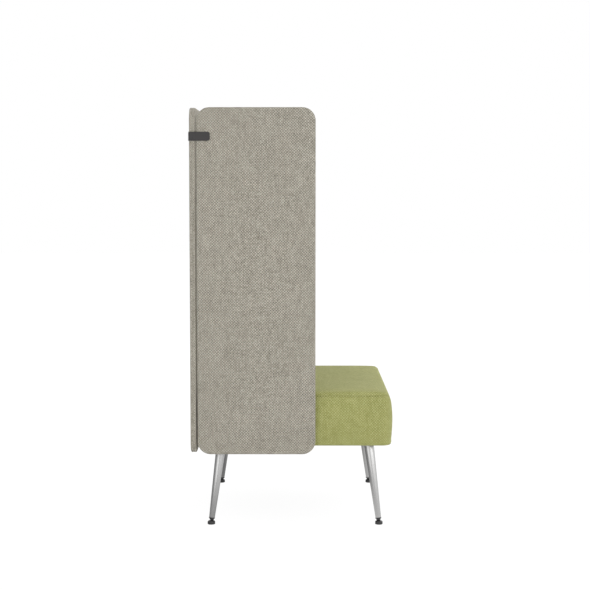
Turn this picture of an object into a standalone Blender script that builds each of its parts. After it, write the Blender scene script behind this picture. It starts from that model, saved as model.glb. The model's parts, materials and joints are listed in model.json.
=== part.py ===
"""High back privacy chair.

An upholstered block seat stands on four splayed tapered steel legs. Two side screens and a
back screen rise from the floor side of the seat to well above the sitter's head, and a bent
steel strap ties each rear corner near the top. Every foot is a levelling glide: a threaded
stem with a ball that carries a round pad.

Metres, +Z up. The sitter faces -Y and the sitter's left is +X. The origin lies on the floor,
under the middle of the overall box.
"""

import math

import bmesh
import bpy
from mathutils import Matrix, Vector

# Fits that every piece shares
clearance = 0.0003
overrun = 0.006
weld_distance = 0.000001

# Seat block, measured over its upholstery
seat_width = 0.635
seat_depth = 0.6455
seat_base_height = 0.265
seat_side_height = 0.165
seat_crown = 0.020
seat_corner_radius = 0.036
seam_draw_in = 0.007
base_draw_in = 0.005
bulge_height = 0.100
top_shoulder = 0.036
shoulder_rise = 0.0145

# Seat upholstery and what it covers
side_padding = 0.010
top_padding = 0.007
hem_thickness = 0.002
hem_gap = 0.0025
rail_thickness = 0.021
rail_height = 0.095
deck_thickness = 0.015
vent_radius = 0.018
vent_spacing = 0.150
block_side = 0.105
block_height = 0.045
dust_cover_thickness = 0.0012

# Screens
screen_height = 1.130
screen_base_height = 0.242
screen_thickness = 0.019
screen_corner_radius = 0.043
screen_edge_radius = 0.0085
side_screen_depth = 0.389
board_thickness = 0.012
board_inset = 0.006

# Straps across the rear corners
strap_drop = 0.079
strap_height = 0.029
strap_reach = 0.070
strap_thickness = 0.002
strap_bend_radius = 0.0065
strap_corner_radius = 0.009
stud_radius = 0.0025
stud_setback = 0.020
nut_flange_radius = 0.0075
nut_flange_thickness = 0.002
nut_barrel_radius = 0.004
nut_barrel_length = 0.010

# Bolts between the seat frame and the screens
bolt_radius = 0.003
bolt_head_radius = 0.0065
bolt_head_thickness = 0.0035
bolt_bite = 0.009
side_bolt_inset = 0.090
back_bolt_spacing = 0.360

# Legs
lean_slope = 0.128
leg_end_inset = 0.078
leg_foot_radius = 0.0095
leg_top_radius = 0.0168
leg_wall = 0.0015
plate_side = 0.058
plate_thickness = 0.003
plate_corner_radius = 0.006
screw_offset = 0.0215
screw_edge = 0.0047
screw_radius = 0.0021
screw_length = 0.026
screw_head_radius = 0.0050
screw_head_height = 0.0028

# Levelling glides
pad_radius = 0.0125
pad_edge_height = 0.0065
pad_chamfer = 0.0007
pad_rim_radius = 0.0070
ball_height = 0.0065
ball_radius = 0.0045
throat_rise = 0.0030
rim_rise = 0.0045
throat_flare = 0.0010
neck_radius = 0.0025
collar_rise = 0.0070
collar_thickness = 0.0045
collar_across_flats = 0.013
stem_radius = 0.0039
stem_length = 0.040
stem_chamfer = 0.0006
plug_rim_radius = 0.0100
plug_rim_thickness = 0.0030
plug_rim_chamfer = 0.0005
plug_length = 0.020

# Facet counts
corner_steps = 5
leg_steps = 24
turned_steps = 16
fastener_steps = 12
arc_steps = 3

# A cage line this many radii from a corner gives a subdivided corner of that radius
cage_line_share = 1.757
# The widest ring of the cage stands out by this share of its neighbours' draw-in, which
# brings the subdivided wall back to the seat's width
swell_share = 0.245
# How sharp the seat's lower edge and its top seam stay under subdivision
base_crease_share = 0.90
seam_crease_share = 0.30

# Places worked out from the sizes above
seam_height = seat_base_height + seat_side_height
frame_base_height = seat_base_height + hem_thickness + clearance
deck_base_height = frame_base_height + rail_height + clearance
foam_base_height = deck_base_height + deck_thickness + clearance
foam_top_height = seam_height - top_padding - clearance
rail_middle_height = frame_base_height + rail_height / 2
bolt_height = frame_base_height + (rail_height + block_height) / 2

overall_depth = seat_depth + screen_thickness + strap_thickness + 2 * clearance
seat_front = -overall_depth / 2
seat_back = seat_front + seat_depth
seat_middle = seat_front + seat_depth / 2
back_screen_front = seat_back + clearance
back_screen_middle = back_screen_front + screen_thickness / 2
back_screen_rear = back_screen_front + screen_thickness
side_screen_rear = back_screen_front - clearance
side_screen_front = side_screen_rear - side_screen_depth
side_screen_middle = side_screen_rear - side_screen_depth / 2
side_screen_offset = seat_width / 2 + clearance + screen_thickness / 2
screens_width = seat_width + 2 * clearance + 2 * screen_thickness
screen_middle_height = screen_base_height + screen_height / 2
screen_top_height = screen_base_height + screen_height

core_width = seat_width - 2 * side_padding - 2 * clearance
core_depth = seat_depth - 2 * side_padding - 2 * clearance
core_radius = seat_corner_radius - side_padding - clearance
foam_inset = seam_draw_in + top_padding
wall_gap = (screen_thickness - board_thickness) / 2

strap_middle_height = screen_top_height - strap_drop - strap_height / 2
strap_outer_side = screens_width / 2 + clearance + strap_thickness
strap_outer_rear = back_screen_rear + clearance + strap_thickness
stud_distance = strap_reach - stud_setback
stud_hole_radius = nut_barrel_radius + clearance
bolt_hole_radius = bolt_radius + clearance
screw_hole_radius = screw_radius + clearance

plate_top_height = frame_base_height - clearance
plate_base_height = plate_top_height - plate_thickness
leg_top_side = core_width / 2 - rail_thickness - screw_edge - screw_offset
leg_top_end = seat_depth / 2 - leg_end_inset
hem_width = seat_width / 2 - leg_top_side - plate_side / 2 - hem_gap
lean_angle = math.atan(lean_slope * math.sqrt(2))
plug_base_rise = collar_rise + collar_thickness + clearance
leg_base_rise = plug_base_rise + plug_rim_thickness + clearance
leg_top_rise = (plate_base_height - clearance - ball_height) / math.cos(lean_angle)
leg_run = (plate_base_height - ball_height) * lean_slope

chair = bpy.data.collections.new("high_back_privacy_chair")
cutters = bpy.data.collections.new("cutters")

sides = {"left": 1, "right": -1}
ends = {"front": -1, "rear": 1}


# Scene and materials


def clear_scene():
    for found in list(bpy.data.objects):
        bpy.data.objects.remove(found)
    bpy.context.scene.collection.children.link(chair)
    bpy.context.scene.collection.children.link(cutters)
    cutters.hide_render = True


def material(name, colour, roughness, metallic=0.0):
    made = bpy.data.materials.new(name)
    made.use_nodes = True
    surface = made.node_tree.nodes["Principled BSDF"]
    surface.inputs["Base Color"].default_value = (*colour, 1.0)
    surface.inputs["Roughness"].default_value = roughness
    surface.inputs["Metallic"].default_value = metallic
    made.diffuse_color = (*colour, 1.0)
    return made


def place(made, group, surface=None):
    group.objects.link(made)
    if surface:
        made.data.materials.append(surface)
    if group is cutters:
        made.hide_render = True
        made.display_type = "WIRE"
    return made


# Basic shapes


def mesh_object(name, shape, group=chair, surface=None, smooth=False):
    mesh = bpy.data.meshes.new(name)
    bmesh.ops.recalc_face_normals(shape, faces=shape.faces)
    shape.to_mesh(mesh)
    shape.free()
    if smooth:
        mesh.shade_smooth()
        mesh.set_sharp_from_angle(angle=math.radians(35))
    return place(bpy.data.objects.new(name, mesh), group, surface)


def box(name, size, centre, group=chair, surface=None):
    shape = bmesh.new()
    bmesh.ops.create_cube(shape, size=1)
    bmesh.ops.scale(shape, vec=size, verts=shape.verts)
    made = mesh_object(name, shape, group, surface)
    made.location = centre
    return made


def rod_cutter(name, radius, length, centre, direction):
    """A round cutter along a direction, its middle at the centre given."""
    shape = bmesh.new()
    bmesh.ops.create_cone(
        shape,
        cap_ends=True,
        segments=fastener_steps,
        radius1=radius,
        radius2=radius,
        depth=length,
    )
    made = mesh_object(name, shape, cutters)
    made.location = centre
    made.rotation_mode = "QUATERNION"
    made.rotation_quaternion = Vector((0, 0, 1)).rotation_difference(Vector(direction))
    return made


def rounded_outline(width, height, radius):
    """Corner arcs of a rounded rectangle about the origin, anticlockwise."""
    points = []
    for turn in range(4):
        along = 1 if turn in (0, 3) else -1
        across = 1 if turn in (0, 1) else -1
        middle = (along * (width / 2 - radius), across * (height / 2 - radius))
        for step in range(corner_steps + 1):
            angle = math.pi / 2 * (turn + step / corner_steps)
            points.append(
                (
                    middle[0] + radius * math.cos(angle),
                    middle[1] + radius * math.sin(angle),
                )
            )
    return points


def flat_shape(name, outline, thickness, edge_radius=0.0, group=chair, surface=None):
    """A filled outline in the local XY plane, centred on it, with round edges if asked."""
    curve = bpy.data.curves.new(name, "CURVE")
    curve.dimensions = "2D"
    curve.fill_mode = "BOTH"
    curve.extrude = thickness / 2 - edge_radius
    curve.bevel_depth = edge_radius
    curve.bevel_resolution = 2
    curve.offset = -edge_radius
    spline = curve.splines.new("POLY")
    spline.points.add(len(outline) - 1)
    for point, (x, y) in zip(spline.points, outline):
        point.co = (x, y, 0, 1)
    spline.use_cyclic_u = True
    drawn = bpy.data.objects.new(name, curve)
    group.objects.link(drawn)
    bpy.context.view_layer.update()
    graph = bpy.context.evaluated_depsgraph_get()
    mesh = bpy.data.meshes.new_from_object(drawn.evaluated_get(graph))
    bpy.data.objects.remove(drawn)
    shape = bmesh.new()
    shape.from_mesh(mesh)
    bpy.data.meshes.remove(mesh)
    bmesh.ops.remove_doubles(shape, verts=shape.verts, dist=weld_distance)
    return mesh_object(name, shape, group, surface, smooth=edge_radius > 0)


def turned(name, profile, steps, closed=False, surface=None):
    """A profile of (radius, height) points turned about local Z."""
    shape = bmesh.new()
    points = [shape.verts.new((radius, 0, height)) for radius, height in profile]
    for start, end in zip(points, points[1:]):
        shape.edges.new((start, end))
    if closed:
        shape.edges.new((points[-1], points[0]))
    mesh = bpy.data.meshes.new(name)
    shape.to_mesh(mesh)
    shape.free()
    made = place(bpy.data.objects.new(name, mesh), chair, surface)
    screw = made.modifiers.new("turn", "SCREW")
    screw.axis = "Z"
    screw.angle = 2 * math.pi
    screw.steps = steps
    screw.render_steps = steps
    screw.use_smooth_shade = True
    screw.use_merge_vertices = True
    screw.merge_threshold = weld_distance
    return made


def arc(radius, centre, first, last, steps):
    """(radius, height) points of an arc about a point, angles in degrees from the radius."""
    points = []
    for step in range(steps + 1):
        angle = math.radians(first + (last - first) * step / steps)
        points.append(
            (
                centre[0] + radius * math.cos(angle),
                centre[1] + radius * math.sin(angle),
            )
        )
    return points


def combine(made, other, operation="DIFFERENCE"):
    joined = made.modifiers.new(other.name, "BOOLEAN")
    joined.operation = operation
    joined.solver = "EXACT"
    joined.object = other
    return joined


def upright(made, facing, centre):
    """Stands a flat shape up, its local X along the screen, its local Y up."""
    along = Vector((1, 0, 0)) if facing == "y" else Vector((0, 1, 0))
    up = Vector((0, 0, 1))
    turn = Matrix((along, up, along.cross(up))).transposed()
    made.rotation_euler = turn.to_euler()
    made.location = centre
    return made


# Seat


def seat_cage():
    """The coarse cage of the upholstered block, cut where its form changes."""
    shape = bmesh.new()
    height = seat_side_height + seat_crown
    bmesh.ops.create_cube(shape, size=1)
    bmesh.ops.scale(shape, vec=(seat_width, seat_depth, height), verts=shape.verts)
    bmesh.ops.translate(shape, vec=(0, 0, height / 2), verts=shape.verts)
    line = seat_corner_radius * cage_line_share
    cuts = [
        ((0, 0, seat_side_height), (0, 0, 1)),
        ((0, 0, bulge_height), (0, 0, 1)),
        ((0, 0, 0), (1, 0, 0)),
        ((0, 0, 0), (0, 1, 0)),
    ]
    for sign in (1, -1):
        cuts.append(((sign * (seat_width / 2 - line), 0, 0), (1, 0, 0)))
        cuts.append(((0, sign * (seat_depth / 2 - line), 0), (0, 1, 0)))
    for point, normal in cuts:
        geometry = shape.verts[:] + shape.edges[:] + shape.faces[:]
        bmesh.ops.bisect_plane(shape, geom=geometry, plane_co=point, plane_no=normal)
    return shape


def draw_in(height):
    """How far the block's wall stands inside its widest line at a height."""
    if height < bulge_height / 2:
        return base_draw_in
    if height < (bulge_height + seat_side_height) / 2:
        return -swell_share * (base_draw_in + seam_draw_in)
    if height < seat_side_height + seat_crown / 2:
        return seam_draw_in
    return top_shoulder


def seat_form(name, group, surface):
    """Crowned top, walls that bulge and draw in to the seam and to the base."""
    shape = seat_cage()
    for point in shape.verts:
        inset = draw_in(point.co.z)
        if inset == top_shoulder:
            across = abs(point.co.x) / (seat_width / 2)
            along = abs(point.co.y) / (seat_depth / 2)
            rim = max(across, along) ** 4
            point.co.z -= (seat_crown - shoulder_rise) * rim
        point.co.x *= 1 - inset / (seat_width / 2)
        point.co.y *= 1 - inset / (seat_depth / 2)
    crease = shape.edges.layers.float.new("crease_edge")
    widths = (seat_width / 2, seat_depth / 2)
    for edge in shape.edges:
        middle = (edge.verts[0].co + edge.verts[1].co) / 2
        level = abs(edge.verts[0].co.z - edge.verts[1].co.z) < weld_distance
        inset = draw_in(middle.z)
        across = abs(middle.x) > widths[0] - inset - overrun
        along = abs(middle.y) > widths[1] - inset - overrun
        if not level or not (across or along):
            continue
        if inset == base_draw_in:
            edge[crease] = base_crease_share
        if inset == seam_draw_in:
            edge[crease] = seam_crease_share
    made = mesh_object(name, shape, group, surface, smooth=True)
    made.location = (0, seat_middle, seat_base_height)
    soft = made.modifiers.new("soft", "SUBSURF")
    soft.levels = 2
    soft.render_levels = 2
    return made


def core_shape(name, base, top, spare=0.0, group=chair, surface=None):
    """A slab of the space inside the seat's upholstery, between two heights."""
    outline = rounded_outline(
        core_width + 2 * spare, core_depth + 2 * spare, core_radius + spare
    )
    made = flat_shape(name, outline, top - base, 0.0, group, surface)
    made.location = (0, seat_middle, (base + top) / 2)
    return made


def hem_opening(name, spare, base, top, group=chair, surface=None):
    width = seat_width - 2 * hem_width + 2 * spare
    depth = seat_depth - 2 * hem_width + 2 * spare
    outline = rounded_outline(width, depth, seat_corner_radius - hem_width / 2)
    made = flat_shape(name, outline, top - base, 0.0, group, surface)
    made.location = (0, seat_middle, (base + top) / 2)
    return made


def make_seat_cover(fabric):
    cover = seat_form("seat_cover", chair, fabric)
    base = frame_base_height - clearance
    shelf = foam_base_height
    combine(cover, core_shape("frame_cavity", base, shelf, clearance, cutters))
    top = foam_top_height + clearance
    base = shelf - overrun
    spare = clearance - foam_inset
    combine(cover, core_shape("foam_cavity", base, top, spare, cutters))
    low = seat_base_height - overrun
    high = frame_base_height + overrun
    combine(cover, hem_opening("hem_opening", 0.0, low, high, cutters))
    for hole in bolt_holes("seat_cover"):
        combine(cover, hole)
    return cover


def make_seat_core(foam, plywood, timber, felt):
    core_shape("seat_foam", foam_base_height, foam_top_height, -foam_inset, surface=foam)
    deck_top = deck_base_height + deck_thickness
    deck = core_shape("seat_deck", deck_base_height, deck_top, surface=plywood)
    for across in (-1, 1):
        for along in (-1, 1):
            centre = (
                across * vent_spacing / 2,
                seat_middle + along * vent_spacing / 2,
                deck_base_height + deck_thickness / 2,
            )
            depth = deck_thickness + 2 * overrun
            name = f"vent_{across}_{along}"
            combine(deck, rod_cutter(name, vent_radius, depth, centre, (0, 0, 1)))
    make_rails(timber)
    make_leg_blocks(timber)
    make_dust_cover(felt)


def make_rails(timber):
    rail_top = frame_base_height + rail_height
    limits = core_shape("rail_limits", frame_base_height, rail_top, 0.0, cutters)
    end_place = core_depth / 2 - rail_thickness / 2
    for end, sign in ends.items():
        rail = box(
            f"frame_{end}_rail",
            (core_width, rail_thickness, rail_height),
            (0, seat_middle + sign * end_place, rail_middle_height),
            surface=timber,
        )
        combine(rail, limits, "INTERSECT")
        for hole in bolt_holes(rail.name) if end == "rear" else []:
            combine(rail, hole)
    length = core_depth - 2 * rail_thickness - 2 * clearance
    side_place = core_width / 2 - rail_thickness / 2
    for side, sign in sides.items():
        rail = box(
            f"frame_{side}_rail",
            (rail_thickness, length, rail_height),
            (sign * side_place, seat_middle, rail_middle_height),
            surface=timber,
        )
        combine(rail, limits, "INTERSECT")
        for hole in bolt_holes(rail.name):
            combine(rail, hole)


def make_leg_blocks(timber):
    """A glued block in each frame corner takes the leg plate's screws."""
    place_x = core_width / 2 - rail_thickness - clearance - block_side / 2
    place_y = core_depth / 2 - rail_thickness - clearance - block_side / 2
    for end, y_sign in ends.items():
        for side, x_sign in sides.items():
            block = box(
                f"leg_block_{end}_{side}",
                (block_side, block_side, block_height),
                (
                    x_sign * place_x,
                    seat_middle + y_sign * place_y,
                    frame_base_height + block_height / 2,
                ),
                surface=timber,
            )
            for number, (x, y) in enumerate(screw_places(x_sign, y_sign), 1):
                centre = (x, y, frame_base_height + screw_length / 2)
                name = f"{block.name}_hole_{number}"
                depth = screw_length + 2 * overrun
                hole = rod_cutter(name, screw_hole_radius, depth, centre, (0, 0, 1))
                combine(block, hole)


def make_dust_cover(felt):
    top = frame_base_height - clearance
    base = top - dust_cover_thickness
    cover = hem_opening("dust_cover", -clearance, base, top, surface=felt)
    side = plate_side + 2 * clearance
    for end, y_sign in ends.items():
        for side_name, x_sign in sides.items():
            x, y = leg_top(x_sign, y_sign)
            size = (side, side, dust_cover_thickness + 2 * overrun)
            name = f"plate_gap_{end}_{side_name}"
            combine(cover, box(name, size, (x, y, top), cutters))


# Screens


def make_screen(name, width, facing, centre, fabric, board):
    """A board wrapped in fabric over thin foam, with soft round edges."""
    outline = rounded_outline(width, screen_height, screen_corner_radius)
    thickness = screen_thickness
    cover = flat_shape(
        f"{name}_cover", outline, thickness, screen_edge_radius, surface=fabric
    )
    upright(cover, facing, centre)
    for role, spare, group in (("board", 0.0, chair), ("pocket", clearance, cutters)):
        outline = rounded_outline(
            width - 2 * board_inset + 2 * spare,
            screen_height - 2 * board_inset + 2 * spare,
            screen_corner_radius - board_inset + spare,
        )
        thickness = board_thickness + 2 * spare
        surface = board if group is chair else None
        inner = flat_shape(f"{name}_{role}", outline, thickness, 0.0, group, surface)
        upright(inner, facing, centre)
        if group is cutters:
            combine(cover, inner)
            continue
        for hole in bolt_holes(inner.name) + stud_holes(inner.name):
            combine(inner, hole)
    for hole in bolt_holes(cover.name) + stud_holes(cover.name):
        combine(cover, hole)


def make_screens(fabric, board):
    for side, sign in sides.items():
        centre = (sign * side_screen_offset, side_screen_middle, screen_middle_height)
        name = f"{side}_screen"
        make_screen(name, side_screen_depth, "x", centre, fabric, board)
    centre = (0, back_screen_middle, screen_middle_height)
    make_screen("back_screen", screens_width, "y", centre, fabric, board)


# Bolts and studs


def bolt_sites():
    """Each bolt: its name, the point where its head meets the rail, its direction."""
    sites = []
    face = core_width / 2 - rail_thickness - clearance
    places = {
        "front": side_screen_front + side_bolt_inset,
        "rear": side_screen_rear - side_bolt_inset,
    }
    for side, sign in sides.items():
        for end, y in places.items():
            point = Vector((sign * face, y, bolt_height))
            sites.append((f"{side}_screen_bolt_{end}", point, Vector((sign, 0, 0))))
    rear_face = seat_middle + core_depth / 2 - rail_thickness - clearance
    for side, sign in sides.items():
        point = Vector((sign * back_bolt_spacing / 2, rear_face, bolt_height))
        sites.append((f"back_screen_bolt_{side}", point, Vector((0, 1, 0))))
    return sites


def bolt_length():
    """From under the head to the tip, which bites into the screen's board."""
    cover_gap = side_padding + 2 * clearance
    return rail_thickness + 2 * clearance + cover_gap + wall_gap + bolt_bite


def bolt_holes(piece):
    """One round cutter for each bolt that goes through the piece."""
    holes = []
    for name, point, direction in bolt_sites():
        screen = name.split("_bolt")[0]
        wall = screen.replace("_screen", "").replace("back", "rear")
        meets = piece.startswith(screen) or piece == f"frame_{wall}_rail"
        if not meets and piece != "seat_cover":
            continue
        length = bolt_length() + clearance + overrun
        centre = point + direction * (length / 2 - overrun)
        cutter = f"{piece}_{name}_hole"
        holes.append(rod_cutter(cutter, bolt_hole_radius, length, centre, direction))
    return holes


def make_bolts(steel):
    chamfer = bolt_radius / 4
    tip = -bolt_length()
    profile = [
        (0, bolt_head_thickness),
        (bolt_head_radius - chamfer, bolt_head_thickness),
        (bolt_head_radius, bolt_head_thickness - chamfer),
        (bolt_head_radius, 0),
        (bolt_radius, 0),
        (bolt_radius, tip + chamfer),
        (bolt_radius - chamfer, tip),
        (0, tip),
    ]
    for name, point, direction in bolt_sites():
        bolt = turned(name, profile, fastener_steps, surface=steel)
        bolt.location = point
        bolt.rotation_mode = "QUATERNION"
        bolt.rotation_quaternion = Vector((0, 0, -1)).rotation_difference(direction)


def stud_sites():
    """Each strap stud: side and arm, its root on the strap's inner face, its direction."""
    sites = []
    side_plane = strap_outer_side - strap_thickness
    rear_plane = strap_outer_rear - strap_thickness
    for side, sign in sides.items():
        y = strap_outer_rear - stud_distance
        root = Vector((sign * side_plane, y, strap_middle_height))
        sites.append((side, "side", root, Vector((-sign, 0, 0))))
        x = sign * (strap_outer_side - stud_distance)
        root = Vector((x, rear_plane, strap_middle_height))
        sites.append((side, "back", root, Vector((0, -1, 0))))
    return sites


def stud_holes(piece):
    holes = []
    for side, arm, root, direction in stud_sites():
        screen = f"{side}_screen" if arm == "side" else "back_screen"
        if not piece.startswith(screen):
            continue
        length = screen_thickness + 2 * overrun
        centre = root + direction * (clearance + screen_thickness / 2)
        cutter = f"{piece}_{side}_{arm}_stud_hole"
        holes.append(rod_cutter(cutter, stud_hole_radius, length, centre, direction))
    return holes


def strap_outline(sign):
    """Plan of a strap with one rounded bend, its outer corner at the origin."""
    outer = strap_bend_radius
    inner = strap_bend_radius - strap_thickness
    points = [(-strap_reach, 0)]
    for step in range(corner_steps + 1):
        angle = math.pi / 2 * (1 - step / corner_steps)
        points.append((-outer + outer * math.cos(angle), -outer + outer * math.sin(angle)))
    points.append((0, -strap_reach))
    points.append((-strap_thickness, -strap_reach))
    for step in range(corner_steps + 1):
        angle = math.pi / 2 * step / corner_steps
        points.append((-outer + inner * math.cos(angle), -outer + inner * math.sin(angle)))
    points.append((-strap_reach, -strap_thickness))
    return [(sign * x, y) for x, y in points]


def make_straps(graphite, steel):
    for side, sign in sides.items():
        strap = flat_shape(
            f"{side}_corner_strap", strap_outline(sign), strap_height, surface=graphite
        )
        round_strap_ends(strap.data)
        strap.location = (sign * strap_outer_side, strap_outer_rear, strap_middle_height)
        for stud_side, arm, root, direction in stud_sites():
            if stud_side != side:
                continue
            reach = clearance + screen_thickness - nut_barrel_length / 4
            length = reach + strap_thickness / 2
            centre = root + direction * (reach / 2 - strap_thickness / 4)
            name = f"{side}_{arm}_stud"
            stud = rod_cutter(name, stud_radius, length, centre, direction)
            combine(strap, stud, "UNION")
    make_strap_nuts(steel)


def round_strap_ends(mesh):
    """Rounds the four corners of the strap's two ends, seen face on."""
    shape = bmesh.new()
    shape.from_mesh(mesh)
    corners = []
    for edge in shape.edges:
        first, second = (point.co for point in edge.verts)
        level = abs(first.z - second.z) < weld_distance
        at_side = min(-first.y, -second.y) > strap_reach - weld_distance
        at_back = min(abs(first.x), abs(second.x)) > strap_reach - weld_distance
        if level and (at_side or at_back):
            corners.append(edge)
    bmesh.ops.bevel(
        shape,
        geom=corners,
        offset=strap_corner_radius,
        segments=arc_steps,
        profile=0.5,
        affect="EDGES",
    )
    shape.to_mesh(mesh)
    shape.free()


def make_strap_nuts(steel):
    """A flanged barrel nut on each stud, its flange on the screen's inner face."""
    bore = stud_radius + clearance
    chamfer = nut_flange_thickness / 4
    depth = nut_barrel_length
    top = nut_flange_thickness
    profile = [
        (0, top),
        (nut_flange_radius - chamfer, top),
        (nut_flange_radius, top - chamfer),
        (nut_flange_radius, 0),
        (nut_barrel_radius, 0),
        (nut_barrel_radius, -depth),
        (bore, -depth),
        (bore, 0),
        (0, 0),
    ]
    for side, arm, root, direction in stud_sites():
        name = f"strap_nut_{side}_{arm}"
        nut = turned(name, profile, fastener_steps, surface=steel)
        nut.location = root + direction * (2 * clearance + screen_thickness)
        nut.rotation_mode = "QUATERNION"
        nut.rotation_quaternion = Vector((0, 0, 1)).rotation_difference(direction)


# Legs and glides


def leg_top(x_sign, y_sign):
    """Where the leg's axis meets the underside of its plate, seen from above."""
    return x_sign * leg_top_side, seat_middle + y_sign * leg_top_end


def ball_centre(x_sign, y_sign):
    x, y = leg_top(x_sign, y_sign)
    return Vector((x + x_sign * leg_run, y + y_sign * leg_run, ball_height))


def screw_places(x_sign, y_sign):
    x, y = leg_top(x_sign, y_sign)
    return [
        (x + x_sign * screw_offset, y - y_sign * screw_offset),
        (x - x_sign * screw_offset, y + y_sign * screw_offset),
    ]


def leg_axis(end, side):
    """An empty at the ball's centre, its Z up along the leg."""
    x_sign, y_sign = sides[side], ends[end]
    axis = bpy.data.objects.new(f"leg_axis_{end}_{side}", None)
    chair.objects.link(axis)
    up = Vector((-x_sign * lean_slope, -y_sign * lean_slope, 1)).normalized()
    axis.location = ball_centre(x_sign, y_sign)
    axis.rotation_mode = "QUATERNION"
    axis.rotation_quaternion = Vector((0, 0, 1)).rotation_difference(up)
    axis.empty_display_size = leg_top_radius
    return axis


def make_leg(name, axis, steel):
    """A tapered tube, square at the foot and cut level under its plate."""
    top = leg_top_rise + leg_top_radius
    length = leg_top_rise - leg_base_rise
    taper = (leg_top_radius - leg_foot_radius) / length
    top_radius = leg_foot_radius + taper * (top - leg_base_rise)
    profile = [
        (top_radius, top),
        (leg_foot_radius, leg_base_rise),
        (leg_foot_radius - leg_wall, leg_base_rise),
        (top_radius - leg_wall, top),
    ]
    leg = turned(name, profile, leg_steps, closed=True, surface=steel)
    leg.parent = axis
    foot = axis.location
    side = 4 * plate_side
    base = plate_base_height - clearance
    level = box(f"{name}_level", (side, side, side), (foot.x, foot.y, base + side / 2), cutters)
    combine(leg, level)


def make_plate(name, x_sign, y_sign, steel):
    x, y = leg_top(x_sign, y_sign)
    outline = rounded_outline(plate_side, plate_side, plate_corner_radius)
    plate = flat_shape(name, outline, plate_thickness, surface=steel)
    middle = plate_base_height + plate_thickness / 2
    plate.location = (x, y, middle)
    for number, (hole_x, hole_y) in enumerate(screw_places(x_sign, y_sign), 1):
        centre = (hole_x, hole_y, middle)
        depth = plate_thickness + 2 * overrun
        hole = f"{name}_hole_{number}"
        combine(plate, rod_cutter(hole, screw_hole_radius, depth, centre, (0, 0, 1)))


def make_plate_screws(end, side, steel):
    """Pan head wood screws, heads under the plate, points up in the block."""
    head = -screw_head_height
    shoulder = screw_length - 2 * screw_radius
    profile = [
        (0, screw_length),
        (screw_radius, shoulder),
        (screw_radius, 0),
        (screw_head_radius, 0),
        (screw_head_radius, head / 3),
        (screw_head_radius * math.cos(math.pi / 4), head),
        (0, head),
    ]
    places = screw_places(sides[side], ends[end])
    for number, (x, y) in enumerate(places, 1):
        name = f"plate_screw_{end}_{side}_{number}"
        screw = turned(name, profile, fastener_steps, surface=steel)
        screw.location = (x, y, plate_base_height - clearance)


def make_plug(name, axis, nylon):
    """The foot plug: a rim under the tube and a threaded shank inside it."""
    base = plug_base_rise
    rim_top = base + plug_rim_thickness
    top = rim_top + plug_length
    bore = stem_radius + clearance
    shank = leg_foot_radius - leg_wall - clearance
    profile = [
        (shank, top),
        (shank, rim_top),
        (plug_rim_radius, rim_top),
        (plug_rim_radius, base + plug_rim_chamfer),
        (plug_rim_radius - plug_rim_chamfer, base),
        (bore, base),
        (bore, top),
    ]
    turned(name, profile, turned_steps, closed=True, surface=nylon).parent = axis


def make_stem(name, axis, steel):
    """A threaded rod with a hexagonal collar, and the ball that the pad holds."""
    rod_top = collar_rise + collar_thickness + stem_length
    neck_angle = math.degrees(math.acos(neck_radius / ball_radius))
    profile = [
        (0, rod_top),
        (stem_radius - stem_chamfer, rod_top),
        (stem_radius, rod_top - stem_chamfer),
        (stem_radius, collar_rise + collar_thickness / 2),
        (neck_radius, collar_rise + collar_thickness / 2),
        *arc(ball_radius, (0, 0), neck_angle, -90, 2 * arc_steps),
    ]
    profile[-1] = (0, -ball_radius)
    stem = turned(name, profile, turned_steps, surface=steel)
    stem.parent = axis
    shape = bmesh.new()
    corner = collar_across_flats / 2 / math.cos(math.pi / 6)
    bmesh.ops.create_cone(
        shape,
        cap_ends=True,
        segments=6,
        radius1=corner,
        radius2=corner,
        depth=collar_thickness,
    )
    collar = mesh_object(f"{name}_collar", shape, cutters)
    collar.parent = axis
    collar.location = (0, 0, collar_rise + collar_thickness / 2)
    combine(stem, collar, "UNION")
    return stem


def make_pad(name, stem, axis, nylon):
    """A round foot pad, flat underneath, whose socket snaps over the ball."""
    socket = ball_radius + clearance
    throat_angle = math.degrees(math.asin(throat_rise / socket))
    throat = socket * math.cos(math.radians(throat_angle))
    dome = Vector((pad_radius - pad_rim_radius, rim_rise + ball_height - pad_edge_height))
    profile = [*arc(socket, (0, 0), -90, throat_angle, 2 * arc_steps)]
    profile[0] = (0, -socket)
    profile.append((throat + throat_flare, rim_rise))
    for step in range(arc_steps + 1):
        angle = math.pi / 2 * (1 - step / arc_steps)
        across = pad_rim_radius + dome.x * math.cos(angle)
        profile.append((across, rim_rise - dome.y + dome.y * math.sin(angle)))
    profile.append((pad_radius, pad_chamfer - ball_height))
    profile.append((pad_radius - pad_chamfer, -ball_height))
    profile.append((0, -ball_height))
    pad = turned(name, profile, turned_steps, surface=nylon)
    pad.parent = stem
    pad.rotation_mode = "QUATERNION"
    pad.rotation_quaternion = axis.rotation_quaternion.inverted()


def make_legs(satin_steel, plain_steel, black_steel, nylon):
    for end, y_sign in ends.items():
        for side, x_sign in sides.items():
            corner = f"{end}_{side}"
            axis = leg_axis(end, side)
            make_leg(f"leg_{corner}", axis, satin_steel)
            make_plate(f"leg_plate_{corner}", x_sign, y_sign, plain_steel)
            make_plate_screws(end, side, plain_steel)
            make_plug(f"leg_plug_{corner}", axis, nylon)
            stem = make_stem(f"glide_stem_{corner}", axis, black_steel)
            make_pad(f"glide_pad_{corner}", stem, axis, nylon)


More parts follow.
